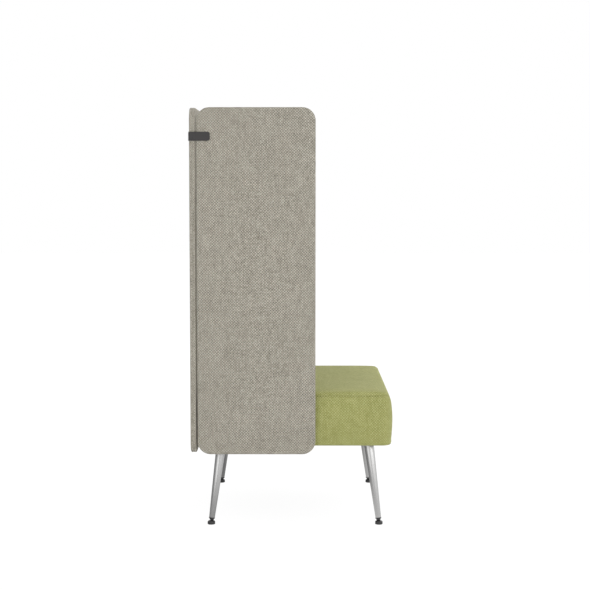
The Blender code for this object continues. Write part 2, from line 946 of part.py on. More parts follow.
def make_chair():
    clear_scene()
    seat_fabric = material("seat_fabric", (0.366, 0.392, 0.141), 0.95)
    screen_fabric = material("screen_fabric", (0.376, 0.352, 0.296), 0.95)
    foam = material("foam", (0.78, 0.72, 0.52), 0.90)
    plywood = material("plywood", (0.55, 0.40, 0.24), 0.65)
    timber = material("timber", (0.62, 0.45, 0.27), 0.70)
    felt = material("dust_cover_felt", (0.020, 0.020, 0.021), 0.95)
    satin_steel = material("satin_steel", (0.58, 0.57, 0.55), 0.32, 1.0)
    plain_steel = material("plated_steel", (0.42, 0.42, 0.42), 0.42, 1.0)
    black_steel = material("blackened_steel", (0.045, 0.045, 0.046), 0.42, 0.6)
    graphite = material("graphite_paint", (0.068, 0.066, 0.068), 0.48)
    nylon = material("black_nylon", (0.045, 0.044, 0.045), 0.55)
    make_seat_cover(seat_fabric)
    make_seat_core(foam, plywood, timber, felt)
    make_screens(screen_fabric, plywood)
    make_bolts(plain_steel)
    make_straps(graphite, plain_steel)
    make_legs(satin_steel, plain_steel, black_steel, nylon)


make_chair()
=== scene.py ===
import json
import math

import bmesh
import bpy
import numpy as np
from mathutils import Matrix, Vector, noise

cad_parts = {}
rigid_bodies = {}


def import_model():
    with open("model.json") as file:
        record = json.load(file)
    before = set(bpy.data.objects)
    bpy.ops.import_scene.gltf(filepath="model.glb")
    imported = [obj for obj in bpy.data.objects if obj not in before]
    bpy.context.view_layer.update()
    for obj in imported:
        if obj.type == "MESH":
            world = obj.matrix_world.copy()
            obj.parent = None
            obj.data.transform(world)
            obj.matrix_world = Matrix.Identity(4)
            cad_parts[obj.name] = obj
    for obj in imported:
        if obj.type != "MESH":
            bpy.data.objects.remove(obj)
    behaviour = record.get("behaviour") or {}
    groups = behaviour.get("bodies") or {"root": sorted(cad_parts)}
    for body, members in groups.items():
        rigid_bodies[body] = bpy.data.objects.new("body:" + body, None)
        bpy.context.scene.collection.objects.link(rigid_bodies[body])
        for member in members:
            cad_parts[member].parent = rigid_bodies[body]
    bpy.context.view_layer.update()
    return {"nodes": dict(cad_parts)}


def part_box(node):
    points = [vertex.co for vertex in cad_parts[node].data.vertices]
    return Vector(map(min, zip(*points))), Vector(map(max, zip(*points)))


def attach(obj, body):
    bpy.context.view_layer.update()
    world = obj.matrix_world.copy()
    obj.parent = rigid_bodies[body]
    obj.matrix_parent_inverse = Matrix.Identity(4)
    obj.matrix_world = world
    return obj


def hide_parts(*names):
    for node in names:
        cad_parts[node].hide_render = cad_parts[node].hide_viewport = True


for leftover in list(bpy.data.objects):
    bpy.data.objects.remove(leftover)

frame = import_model()
nodes = frame["nodes"]
print("frame loaded:", len(nodes), "nodes")

corners = [(end, side) for end in ("front", "rear") for side in ("left", "right")]
sideSign = {"left": 1, "right": -1}
endSign = {"front": -1, "rear": 1}


def addObject(name, data):
    made = bpy.data.objects.new(name, data)
    bpy.context.scene.collection.objects.link(made)
    return made


# camera: square to the sitter's right side, beside the upper half of the screens and tipped a little down

camera = {
    "place": (-4.47129, -0.01271, 1.14268),
    "pitchDown": 3.756,     # degrees
    "yaw": 0.032,
    "lens": 78.067,
    "sensor": 36,
    "shiftY": -0.055,
    "sees": 60,             # metres
}


def aimCamera():
    data = bpy.data.cameras.new("photoCamera")
    data.lens = camera["lens"]
    data.sensor_width = camera["sensor"]
    data.shift_y = camera["shiftY"]
    data.clip_end = camera["sees"]
    eye = addObject("photoCamera", data)
    pitch, yaw = math.radians(camera["pitchDown"]), math.radians(camera["yaw"])
    level = math.cos(pitch)
    forward = Vector((level * math.cos(yaw), level * math.sin(yaw), -math.sin(pitch)))
    eye.location = camera["place"]
    eye.rotation_euler = forward.to_track_quat("-Z", "Y").to_euler()
    bpy.context.scene.camera = eye


aimCamera()
bpy.context.scene.view_settings.view_transform = "Standard"
print("camera set")


# nodes, of materials and of Geometry Nodes alike: all are made by addNode

def feed(tree, socket, value):
    if isinstance(value, Wire):
        value = value.socket
    if isinstance(value, bpy.types.NodeSocket):
        tree.links.new(value, socket)
    elif isinstance(value, tuple):
        socket.default_value = (*value, 1)[:len(socket.default_value)]
    else:
        socket.default_value = value


def addNode(tree, kind, settings=None, sockets=None):
    made = tree.nodes.new(kind)
    for key, value in (settings or {}).items():
        if key == "stops":
            ramp = made.color_ramp
            while len(ramp.elements) < len(value):
                ramp.elements.new(0.5)
            for stop, (place, colour) in zip(ramp.elements, value):
                stop.position = place
                stop.color = (*colour, 1)
        else:
            setattr(made, key, value)
    for key, value in (sockets or {}).items():
        feed(tree, made.inputs[key], value)
    return made


# shader maths: a wrapped socket that adds Math nodes when it meets an operator
class Wire:
    def __init__(self, tree, socket):
        self.tree = tree
        self.socket = socket

    def maths(self, operation, *others, flipped=False):
        values = (*others, self) if flipped else (self, *others)
        made = addNode(self.tree, "ShaderNodeMath", {"operation": operation}, dict(enumerate(values)))
        return Wire(self.tree, made.outputs[0])

    def __add__(self, other):
        return self.maths("ADD", other)

    def __sub__(self, other):
        return self.maths("SUBTRACT", other)

    def __rsub__(self, other):
        return self.maths("SUBTRACT", other, flipped=True)

    def __mul__(self, other):
        return self.maths("MULTIPLY", other)

    def __truediv__(self, other):
        return self.maths("DIVIDE", other)

    def __rtruediv__(self, other):
        return self.maths("DIVIDE", other, flipped=True)

    __radd__ = __add__
    __rmul__ = __mul__

    def floor(self):
        return self.maths("FLOOR")

    def fract(self):
        return self.maths("FRACT")

    def clamp(self, low=0, high=1):
        return self.maths("MAXIMUM", low).maths("MINIMUM", high)


# a material being mixed at the bench: its tree, its coordinates and its surface shader
class Finish:
    def __init__(self, name, **fixed):
        self.material = bpy.data.materials.new(name)
        self.material.use_nodes = True
        self.tree = self.material.node_tree
        self.tree.nodes.clear()
        self.surface = addNode(self.tree, "ShaderNodeBsdfPrincipled")
        addNode(self.tree, "ShaderNodeOutputMaterial", sockets={"Surface": self.surface.outputs[0]})
        self.set(**fixed)

    def node(self, kind, settings=None, sockets=None, output=0):
        return Wire(self.tree, addNode(self.tree, kind, settings, sockets).outputs[output])

    def objectPlace(self):
        return self.node("ShaderNodeTexCoord", output="Object")

    def clothMap(self):
        return self.node("ShaderNodeUVMap", {"uv_map": "cloth"})

    def split(self, vector):
        parts = addNode(self.tree, "ShaderNodeSeparateXYZ", sockets={0: vector})
        return [Wire(self.tree, out) for out in parts.outputs]

    def join(self, x, y, z=0.0):
        return self.node("ShaderNodeCombineXYZ", sockets={"X": x, "Y": y, "Z": z})

    def grain(self, where, scale, detail=2.0, roughness=0.5, distortion=0.0):
        sockets = {"Vector": where, "Scale": scale, "Detail": detail}
        sockets.update({"Roughness": roughness, "Distortion": distortion})
        return self.node("ShaderNodeTexNoise", {"noise_dimensions": "3D"}, sockets)

    def mottle(self, where, scale, detail=2.0, roughness=0.5):
        # grain that goes above and below nought
        return self.grain(where, scale, detail, roughness) - 0.5

    def cells(self, where, scale, output="Color"):
        return self.node("ShaderNodeTexVoronoi", {"feature": "F1"}, {"Vector": where, "Scale": scale}, output)

    def chance(self, x, y):
        settings = {"noise_dimensions": "2D"}
        return self.node("ShaderNodeTexWhiteNoise", settings, {"Vector": self.join(x, y)}, "Value")

    def ramp(self, stops, factor):
        return self.node("ShaderNodeValToRGB", {"stops": stops}, {"Fac": factor})

    def blend(self, factor, first, second):
        # the colour sockets of a Mix node are its seventh and eighth
        return self.node("ShaderNodeMix", {"data_type": "RGBA"}, {0: factor, 6: first, 7: second}, 2)

    def tint(self, colour, amount):
        # a colour times a number, through Vector Math so that it stays a colour
        settings = {"operation": "SCALE"}
        return self.node("ShaderNodeVectorMath", settings, {0: colour, "Scale": amount})

    def bump(self, height, distance, strength):
        sockets = {"Height": height, "Distance": distance, "Strength": strength}
        return self.node("ShaderNodeBump", sockets=sockets)

    def set(self, **sockets):
        for socket, value in sockets.items():
            feed(self.tree, self.surface.inputs[socket.replace("_", " ")], value)
        return self.material

    def mixed(self, colour, rough, relief, depth, strength):
        return self.set(Base_Color=colour, Roughness=rough.clamp(), Normal=self.bump(relief, depth, strength))


# fabrics: heathered yarns, drawn in metres on the piece's own cloth map

weave = {
    "pitch": 0.00225,       # from one yarn to the next
    "group": 2,             # yarns that go over and under together: 1 is a plain weave, 2 a basket weave
    "wander": 0.0012,       # how far the yarns stray from straight
    "wanderScale": 42,
    "bow": 0.6,             # how far a yarn rises and dips, where 1 is its own rounding
    "bowSquare": 1.5,       # over 1, it stays up or down for longer
    "sharp": 5,             # how sharply a yarn ends where it goes under
    "slubLength": 2.0,      # yarns between the quick colour changes along a yarn
    "flecks": 0.5,          # fibre flecks lying along a yarn
    "fleckAlong": 0.75,     # flecks to a yarn, along it
    "fleckAcross": 2.4,
    "hairScale": 2600,      # loose fibre ends
    "sheen": 0.12,
}

screenCloth = {
    **weave,
    "runLength": 14.0,      # yarns between the slow colour changes along a yarn
    "runs": 0.24,           # and how strong they are
    "slubs": 0.47,          # the same for the quick ones
    "warpLight": 0.485,     # how much lighter the warp is than the weft
    "dark": (0.101, 0.0914, 0.0706),
    "middle": (0.330, 0.3075, 0.2565),
    "light": (0.635, 0.602, 0.526),
    "hair": 0.10,
    "relief": 0.0006,
}

seatCloth = {
    **weave,
    "runLength": 12.0,
    "runs": 0.26,
    "slubs": 0.50,
    "warpLight": 0.44,
    "dark": (0.180, 0.1915, 0.0425),
    "middle": (0.330, 0.337, 0.1185),
    "light": (0.560, 0.554, 0.260),
    "hair": 0.06,
    "relief": 0.0005,
}


def wovenCloth(name, cloth):
    finish = Finish(name, Specular_IOR_Level=0.18, Sheen_Weight=cloth["sheen"], Sheen_Roughness=0.5)
    place = finish.clothMap()
    stray = finish.node("ShaderNodeTexNoise", {"noise_dimensions": "3D"},
                        {"Vector": place, "Scale": cloth["wanderScale"]}, "Color")
    # across and along are counted in yarns
    across, along = [(flat + (off - 0.5) * cloth["wander"]) / cloth["pitch"]
                     for flat, off in zip(finish.split(place)[:2], finish.split(stray))]
    column, row = across.floor(), along.floor()
    inColumn, inRow = across.fract() * 2 - 1, along.fract() * 2 - 1

    # every yarn rises and dips in turn, and the higher of the two at a place is the one that shows
    def bow(run, crossing):
        turn = run / cloth["group"] - 0.5 + (crossing / cloth["group"]).floor()
        wave = (turn * math.pi).maths("COSINE")
        return (wave * cloth["bowSquare"]).clamp(-1, 1) * cloth["bow"]

    warpHigh = 1 - inColumn * inColumn + bow(along, column)
    weftHigh = 1 - inRow * inRow - bow(across, row)
    warpUp = ((warpHigh - weftHigh) * cloth["sharp"] + 0.5).clamp()
    height = warpHigh.maths("MAXIMUM", weftHigh) / (1 + cloth["bow"])

    # colour runs along each yarn for a way, from a start of its own, and flecks of fibre lie along it
    def yarnTone(yarn, run, mark):
        def change(length, start, seed):
            return finish.chance(yarn, (run / length + finish.chance(yarn, start)).floor() + seed) - 0.5

        slow = change(cloth["runLength"], mark + 0.5, mark)
        quick = change(cloth["slubLength"], mark + 2.5, mark + 5000)
        return slow * cloth["runs"] + quick * cloth["slubs"]

    # each yarn's flecks come from a place of their own in the noise
    long, wide = cloth["fleckAlong"], cloth["fleckAcross"]
    warpFleck = finish.grain(finish.join(across * wide, along * long, column * 3.7), 1, 2, 0.6)
    weftFleck = finish.grain(finish.join(across * long, along * wide, row * 5.3 + 40), 1, 2, 0.6)
    run = yarnTone(column, along, 0) * warpUp + yarnTone(row, across, 900) * (1 - warpUp)
    fleck = warpFleck * warpUp + weftFleck * (1 - warpUp) - 0.5
    hair = finish.mottle(place, cloth["hairScale"], 3, 0.7)
    tone = run + fleck * cloth["flecks"] + (warpUp - 0.5) * cloth["warpLight"] + hair * cloth["hair"]

    def between(end):
        return tuple(0.45 * e + 0.55 * m for e, m in zip(cloth[end], cloth["middle"]))

    stops = [(0.0, cloth["dark"]), (0.24, between("dark")), (0.5, cloth["middle"]),
             (0.76, between("light")), (1.0, cloth["light"])]
    colour = finish.ramp(stops, (tone + 0.5).clamp())
    shade = 0.66 + height * 0.50 + hair * 0.10      # painted shade: the colour is darker down between the yarns, and the loose fibre ends lift it a little
    colour = finish.tint(colour, shade * (1 + finish.mottle(place, 9) * 0.05))
    warm = finish.blend(finish.grain(place, 17, 1), (1.010, 0.995, 0.99), (0.990, 1.005, 1.0))
    colour = finish.node("ShaderNodeVectorMath", {"operation": "MULTIPLY"}, {0: colour, 1: warm})
    return finish.mixed(colour, 0.90 + hair * 0.12, height + hair * 0.25, cloth["relief"], 0.75)


# metals, paints, plastics and what is hidden inside

def satinSteel():
    # ground along the leg, so the scratches run lengthwise
    finish = Finish("satinSteel", Metallic=1.0)
    place = finish.node("ShaderNodeAttribute", {"attribute_name": "legPlace"}, output="Vector")
    x, y, z = finish.split(place)
    streak = finish.mottle(finish.join(x * 900, y * 900, z * 14), 1, 3, 0.6)
    cloud = finish.mottle(finish.objectPlace(), 16)
    colour = finish.tint((0.470, 0.468, 0.464), 1 + streak * 0.22 + cloud * 0.05)
    return finish.mixed(colour, 0.27 + streak * 0.14 + cloud * 0.05, streak, 0.00004, 0.5)


def platedSteel():
    finish = Finish("platedSteel", Metallic=1.0)
    place = finish.objectPlace()
    spangle = finish.split(finish.cells(place, 420))[0] - 0.5
    cloud = finish.mottle(place, 60, 3)
    colour = finish.tint((0.560, 0.565, 0.575), 1 + spangle * 0.07 + cloud * 0.14)
    return finish.mixed(colour, 0.36 + cloud * 0.16 + spangle * 0.05, cloud, 0.0001, 0.3)


def blackenedSteel():
    finish = Finish("blackenedSteel", Metallic=0.55)
    cloud = finish.mottle(finish.objectPlace(), 240, 3)
    colour = finish.tint((0.042, 0.042, 0.043), 1 + cloud * 0.35)
    return finish.mixed(colour, 0.42 + cloud * 0.20, cloud, 0.00006, 0.4)


def graphitePaint():
    finish = Finish("graphitePaint", Specular_IOR_Level=0.42)
    place = finish.objectPlace()
    peel = finish.mottle(place, 900, 2, 0.4)
    fleck = finish.mottle(place, 3800, 1)
    colour = finish.tint((0.0330, 0.0308, 0.0314), 1 + fleck * 0.30 + peel * 0.08)
    return finish.mixed(colour, 0.46 + peel * 0.10, peel, 0.00005, 0.6)


def blackNylon():
    finish = Finish("blackNylon", Specular_IOR_Level=0.45)
    place = finish.objectPlace()
    spark = finish.mottle(place, 1900, 3, 0.6)
    worn = finish.mottle(place, 120)
    colour = finish.tint((0.040, 0.0395, 0.040), 1 + worn * 0.25 + spark * 0.12)
    return finish.mixed(colour, 0.52 + worn * 0.14 + spark * 0.10, spark, 0.00008, 0.5)


def dustFelt():
    # black non-woven, point bonded in a fine diamond grid
    finish = Finish("dustFelt", Specular_IOR_Level=0.2, Sheen_Weight=0.2)
    place = finish.objectPlace()
    x, y, unused = finish.split(place)
    first, second = [(way / 0.0022).fract() * 2 - 1 for way in (x + y, x - y)]
    dot = (1 - (first * first + second * second) * 1.6).clamp()
    fluff = finish.mottle(place, 700, 4, 0.7)
    colour = finish.tint((0.022, 0.022, 0.023), 1 + fluff * 0.9 + dot * 0.5)
    return finish.mixed(colour, 0.92 - dot * 0.25, fluff - dot * 0.6, 0.00025, 0.7)


def sawnTimber():
    finish = Finish("sawnTimber", Specular_IOR_Level=0.3)
    x, y, z = finish.split(finish.objectPlace())
    place = finish.join(x * 3, y * 3, z * 40)
    fibre = finish.mottle(place, 90)
    stops = [(0.25, (0.66, 0.49, 0.30)), (0.5, (0.60, 0.42, 0.24)), (0.75, (0.50, 0.33, 0.17))]
    colour = finish.tint(finish.ramp(stops, finish.grain(place, 7, 3, 0.55, 0.6)), 1 + fibre * 0.22)
    return finish.mixed(colour, 0.68 + fibre * 0.2, fibre, 0.0003, 0.5)


def plyBoard():
    finish = Finish("plyBoard", Specular_IOR_Level=0.3)
    place = finish.objectPlace()
    chip = finish.split(finish.cells(place, 260))[0] - 0.5
    cloud = finish.mottle(place, 25, 3)
    colour = finish.tint((0.52, 0.385, 0.235), 1 + chip * 0.35 + cloud * 0.15)
    return finish.mixed(colour, 0.70 + chip * 0.1, chip, 0.0002, 0.4)


def cutFoam():
    finish = Finish("cutFoam", Specular_IOR_Level=0.15)
    place = finish.objectPlace()
    cell = finish.cells(place, 700, "Distance")
    aged = finish.blend(finish.grain(place, 8), (0.80, 0.74, 0.54), (0.76, 0.68, 0.46))
    colour = finish.tint(aged, 1 - cell * 0.4)
    return finish.set(Base_Color=colour, Roughness=0.95, Normal=finish.bump(cell, 0.0008, 0.6))


materials = {made.name: made for made in (
    wovenCloth("screenTweed", screenCloth), wovenCloth("seatWool", seatCloth), satinSteel(),
    platedSteel(), blackenedSteel(), graphitePaint(), blackNylon(), dustFelt(), sawnTimber(),
    plyBoard(), cutFoam())}
print("materials mixed:", len(materials))


# meshes

def addMesh(name, verts, faces, maps=()):
    mesh = bpy.data.meshes.new(name)
    mesh.from_pydata([tuple(v) for v in verts], [], faces)
    if maps:
        layer = mesh.uv_layers.new(name="cloth")
        layer.data.foreach_set("uv", np.array([c for ring in maps for spot in ring for c in spot], float))
    return addObject(name, mesh)


def modified(piece):
    # the mesh that a piece's modifiers make of it
    bpy.context.view_layer.update()
    graph = bpy.context.evaluated_depsgraph_get()
    return bpy.data.meshes.new_from_object(piece.evaluated_get(graph), depsgraph=graph)


def smoothBy(piece, degrees, turnOut=False):
    # smooth but for edges sharper than this, once the faces are turned outwards
    mesh = piece.data
    mesh.polygons.foreach_set("use_smooth", [True] * len(mesh.polygons))
    shape = bmesh.new()
    shape.from_mesh(mesh)
    if turnOut:
        bmesh.ops.recalc_face_normals(shape, faces=shape.faces[:])
    limit = math.radians(degrees)
    for edge in shape.edges:
        edge.smooth = len(edge.link_faces) != 2 or edge.calc_face_angle(0) < limit
    shape.to_mesh(mesh)
    shape.free()


def giveMap(piece):
    # small pieces read the weave from their height and place
    layer = piece.data.uv_layers.get("cloth") or piece.data.uv_layers.new(name="cloth")
    for loop in piece.data.loops:
        place = piece.data.vertices[loop.vertex_index].co
        layer.data[loop.index].uv = (place.x + place.y, place.z)


def dress(piece, material, body, slot, *replaced):
    piece.data.materials.clear()
    piece.data.materials.append(materials[material])
    for polygon in piece.data.polygons:
        polygon.material_index = 0
    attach(piece, body)
    if replaced:
        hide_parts(*replaced)


# nets: a rounded rectangle's face as a square grid, with rings out over its edge

charts = {"band": 3.0, "base": 5.0}     # where the later parts of a cloth map lie, clear of the first


def roundNet(width, depth, values):
    # samples going round anticlockwise: the grid corner each one starts from, and its way out
    radius, cell, cornerCells = values["cornerRadius"], values["cell"], values["cornerCells"]
    countX = max(1, round((width - 2 * radius) / cell))
    countY = max(1, round((depth - 2 * radius) / cell))
    halfX, halfY = width / 2 - radius, depth / 2 - radius
    spots = []
    for count, startX, startY, stepX, stepY, angle in (
        (countX, 0, 0, 1, 0, -90),
        (countY, countX, 0, 0, 1, 0),
        (countX, countX, countY, -1, 0, 90),
        (countY, 0, countY, 0, -1, 180),
    ):
        for index in range(count + 1):
            spots.append((startX + stepX * index, startY + stepY * index, angle))
        lastX, lastY = startX + stepX * count, startY + stepY * count
        for index in range(1, cornerCells):
            spots.append((lastX, lastY, angle + 90 * index / cornerCells))
    starts = [(-halfX + 2 * halfX * i / countX, -halfY + 2 * halfY * j / countY) for i, j, way in spots]
    ways = [(math.cos(math.radians(way)), math.sin(math.radians(way))) for i, j, way in spots]
    return {"countX": countX, "countY": countY, "halfX": halfX, "halfY": halfY, "radius": radius,
            "spots": spots, "starts": np.array(starts), "ways": np.array(ways)}


def skin(name, net, topHeight, rings, baseHeight, seamRing, warp, rise=None, roundChart=False):
    # rings are (inset, height) from the top face outwards, over the edge and in under it;
    # the cloth map is cut at seamRing, and roundChart lays what is below it out as one band
    countX, countY, radius = net["countX"], net["countY"], net["radius"]
    starts, ways, spots = net["starts"], net["ways"], net["spots"]
    total, gridSize, lastLevel = len(spots), (countX + 1) * (countY + 1), len(rings) + 1
    gridX = np.linspace(-net["halfX"], net["halfX"], countX + 1)
    gridY = np.linspace(-net["halfY"], net["halfY"], countY + 1)
    verts = [(x, y, height(x, y)) for height in (topHeight, baseHeight) for y in gridY for x in gridX]
    for number, (inset, height) in enumerate(rings):
        places = starts + ways * (radius - inset)
        levels = rise(number, height, starts) if rise else [height] * total
        verts += [(x, y, z) for (x, y), z in zip(places, levels)]

    # distances along the cloth from the top grid, back from the base grid, and round the edge
    flat = [(radius, topHeight(0.0, -net["halfY"])), *rings, (radius, baseHeight(0.0, -net["halfY"]))]
    fromTop = np.cumsum([0, *[math.dist(a, b) for a, b in zip(flat, flat[1:])]])
    fromBase = fromTop[-1] - fromTop
    outline = starts + ways * radius
    steps = np.linalg.norm(np.roll(outline, -1, axis=0) - outline, axis=1)
    girth = np.concatenate([[0], np.cumsum(steps)])
    faces, maps = [], []

    def gridVert(i, j, under):
        return (gridSize if under else 0) + j * (countX + 1) + i

    def gridFaces(under):
        for j in range(countY):
            for i in range(countX):
                ring = [(i, j), (i + 1, j), (i + 1, j + 1), (i, j + 1)]
                if under:
                    ring.reverse()
                faces.append([gridVert(a, b, under) for a, b in ring])
                maps.append([(gridX[a], gridY[b] + (charts["base"] if under else 0.0)) for a, b in ring])

    def vertAt(level, sample):
        if 0 < level < lastLevel:
            return 2 * gridSize + (level - 1) * total + sample
        return gridVert(*spots[sample][:2], level > 0)

    def chartAt(band, level, sample, step):
        if band < seamRing:
            return starts[sample] + ways[sample] * fromTop[level]
        if roundChart:
            return girth[step], charts["band"] - (fromTop[level] - fromTop[seamRing])
        return starts[sample] + ways[sample] * fromBase[level] + (0, charts["base"])

    gridFaces(False)
    for band in range(lastLevel):
        for index in range(total):
            after = (index + 1) % total
            quad = {}
            for level, sample, step in ((band, index, index), (band + 1, index, index),
                                        (band + 1, after, index + 1), (band, after, index + 1)):
                quad.setdefault(vertAt(level, sample), tuple(chartAt(band, level, sample, step)))
            faces.append(list(quad))
            maps.append(list(quad.values()))
    gridFaces(True)

    piece = addMesh(name, [warp(Vector(v)) for v in verts], faces, maps)
    piece.data.polygons.foreach_set("use_smooth", [True] * len(faces))
    piece.data.update()
    piece["rings"] = [2 * gridSize, total, len(rings)]
    return piece


def ringPoints(piece, number):
    base, total, unused = piece["rings"]
    return [piece.data.vertices[base + number * total + i].co.copy() for i in range(total)]


def mirrored(upper):
    return [*upper, *[(inset, -height) for inset, height in reversed(upper)]]


# Geometry Nodes: a tree is built with named inputs, run once and kept as a plain mesh

class Tree:
    def __init__(self, name, inputs):
        self.tree = bpy.data.node_groups.new(name, "GeometryNodeTree")
        face = self.tree.interface
        face.new_socket("Geometry", in_out="INPUT", socket_type="NodeSocketGeometry")
        face.new_socket("Geometry", in_out="OUTPUT", socket_type="NodeSocketGeometry")
        kinds = {float: "NodeSocketFloat", int: "NodeSocketInt", tuple: "NodeSocketVector",
                 bpy.types.Material: "NodeSocketMaterial", bpy.types.Object: "NodeSocketObject"}
        self.values = {}
        for label, value in inputs.items():
            kind = next(socket for key, socket in kinds.items() if isinstance(value, key))
            made = face.new_socket(label, in_out="INPUT", socket_type=kind)
            self.values[made.identifier] = value
        self.source = addNode(self.tree, "NodeGroupInput")
        self.sink = addNode(self.tree, "NodeGroupOutput")

    def given(self, label):
        return self.source.outputs[label]

    def node(self, kind, settings=None, sockets=None):
        return addNode(self.tree, kind, settings, sockets)

    def number(self, operation, first, second):
        return self.node("ShaderNodeMath", {"operation": operation}, {0: first, 1: second}).outputs[0]

    def vector(self, **parts):
        return self.node("ShaderNodeCombineXYZ", sockets=parts).outputs[0]

    def chance(self, least, most):
        sockets = {"Min": least, "Max": most, "Seed": self.given("Seed")}
        return self.node("FunctionNodeRandomValue", {"data_type": "FLOAT"}, sockets).outputs["Value"]

    def marks(self):
        # the carrier's own points
        return self.node("GeometryNodeMeshToPoints", sockets={"Mesh": self.given("Geometry")}).outputs[0]

    def scatter(self, points, instance, rotation, scale=(1.0, 1.0, 1.0)):
        sockets = {"Points": points, "Instance": instance, "Rotation": rotation, "Scale": scale}
        self.finish(self.node("GeometryNodeInstanceOnPoints", sockets=sockets).outputs[0])

    def finish(self, geometry):
        real = self.node("GeometryNodeRealizeInstances", sockets={"Geometry": geometry}).outputs[0]
        sockets = {"Geometry": real, "Material": self.given("Finish")}
        dressed = self.node("GeometryNodeSetMaterial", sockets=sockets)
        self.tree.links.new(dressed.outputs[0], self.sink.inputs[0])

    def run(self, name, carrier):
        change = carrier.modifiers.new(name, "NODES")
        change.node_group = self.tree
        for identifier, value in self.values.items():
            change[identifier] = value
        mesh = modified(carrier)
        mesh.name = name
        bpy.data.objects.remove(carrier)
        return addObject(name, mesh)


def loopCurve(name, points):
    data = bpy.data.curves.new(name, "CURVE")
    data.dimensions = "3D"
    line = data.splines.new("POLY")
    line.points.add(len(points) - 1)
    line.use_cyclic_u = True
    for spot, place in zip(line.points, points):
        spot.co = (*place, 1)
    return addObject(name, data)


def sewStitches(name, values, material, slot, line):
    # one low bead of thread for each stitch, laid along the seam or turned across it
    tree = Tree("stitches", {
        "Pitch": values["stitchPitch"], "Stitch length": values["stitchLength"],
        "Thread radius": values["threadRadius"], "Turn": math.radians(values["stitchTurn"]),
        "Seed": 5, "Finish": materials[material]})
    dots = tree.node("GeometryNodeCurveToPoints", {"mode": "LENGTH"},
                     {"Curve": tree.given("Geometry"), "Length": tree.given("Pitch")})
    bead = tree.node("GeometryNodeMeshUVSphere", sockets={"Segments": 6, "Rings": 4, "Radius": 1.0})
    thread, half = tree.given("Thread radius"), tree.number("MULTIPLY", tree.given("Stitch length"), 0.5)
    size, lean = tree.vector(X=thread, Y=thread, Z=half), tree.vector(Y=tree.given("Turn"))
    shaped = tree.node("GeometryNodeTransform", sockets={"Geometry": bead.outputs["Mesh"], "Scale": size})
    turned = tree.node("GeometryNodeTransform", sockets={"Geometry": shaped.outputs[0], "Rotation": lean})
    tree.scatter(dots.outputs["Points"], turned.outputs[0], dots.outputs["Rotation"], tree.chance(0.9, 1.08))
    piece = tree.run(name, loopCurve(name + "Line", line))
    giveMap(piece)
    dress(piece, material, "chair", slot)
    return piece


# covers: filled with air, then sewn in along their seams

air = {"quality": 6, "mass": 0.35, "stretch": 22, "shear": 12, "bending": 1.2, "frames": 20}

# how many rings a seam reaches; the lip beside it, as a share of its depth, with its place and width,
# and how far the puckers run out, both in the seam's own reach
sewing = {"rings": 6, "lip": 0.28, "lipPlace": 2.3, "lipWidth": 1.3, "puckerRun": 4, "puckerScale": 95}


def inflate(piece, held, slack, pressure, mostMove):
    # cloth under air, gravity off; held is how firmly each point is kept, 0 to 1
    mesh = piece.data
    start = np.array([v.co for v in mesh.vertices])
    normals = np.array([v.normal for v in mesh.vertices])
    mesh.vertices.foreach_set("co", (start - normals * (slack * (1 - held))[:, None]).ravel())
    mesh.update()
    group = piece.vertex_groups.new(name="held")
    for index, weight in enumerate(held):
        if weight > 0:
            group.add([index], weight, "REPLACE")
    cloth = piece.modifiers.new("air", "CLOTH")
    settings = cloth.settings
    settings.quality = air["quality"]
    settings.mass = air["mass"]
    settings.tension_stiffness = settings.compression_stiffness = air["stretch"]
    settings.shear_stiffness = air["shear"]
    settings.bending_stiffness = air["bending"]
    settings.use_pressure = True
    settings.uniform_pressure_force = pressure
    settings.vertex_group_mass = "held"
    settings.effector_weights.gravity = 0
    cloth.collision_settings.use_collision = False
    cloth.point_cache.frame_start = 1
    cloth.point_cache.frame_end = air["frames"] + 4
    scene = bpy.context.scene
    for number in range(1, air["frames"] + 1):
        scene.frame_set(number)
    blown = piece.evaluated_get(bpy.context.evaluated_depsgraph_get())
    move = np.array([v.co for v in blown.to_mesh().vertices]) - start
    blown.to_mesh_clear()
    piece.modifiers.remove(cloth)
    scene.frame_set(1)
    size = np.linalg.norm(move, axis=1)
    cap = np.minimum(1, mostMove / np.maximum(size, 1e-9))
    mesh.vertices.foreach_set("co", (start + move * cap[:, None]).ravel())
    mesh.update()
    print("  moved at most", round(float((size * cap).max()) * 1000, 2), "mm, mean",
          round(float(size.mean()) * 1000, 2))


def sewSeam(piece, seamRing, values):
    # the cloth turns in to the seam, with a little gathering beside each stitch
    base, total, count = piece["rings"]
    dip, reach = values["seamDip"], values["seamReach"]
    mesh = piece.data
    places = np.array([v.co for v in mesh.vertices])
    normals = np.array([v.normal for v in mesh.vertices])
    seam = places[base + seamRing * total: base + (seamRing + 1) * total]
    lipPlace, lipWidth = sewing["lipPlace"] * reach, sewing["lipWidth"] * reach
    for number in range(max(0, seamRing - sewing["rings"]), min(count, seamRing + sewing["rings"] + 1)):
        for index in range(total):
            vert = base + number * total + index
            away = float(np.linalg.norm(places[vert] - seam[index]))
            ripple = noise.noise(Vector(places[vert]) * sewing["puckerScale"]) * values["pucker"]
            ripple *= math.exp(-(away / (sewing["puckerRun"] * reach)) ** 2)
            depth = dip * math.exp(-(away / reach) ** 2)
            lip = dip * sewing["lip"] * math.exp(-((away - lipPlace) / lipWidth) ** 2)
            places[vert] += normals[vert] * (lip - depth + ripple)
    mesh.vertices.foreach_set("co", places.ravel())
    mesh.update()


# the seat: a crowned, upholstered block sewn round its top edge

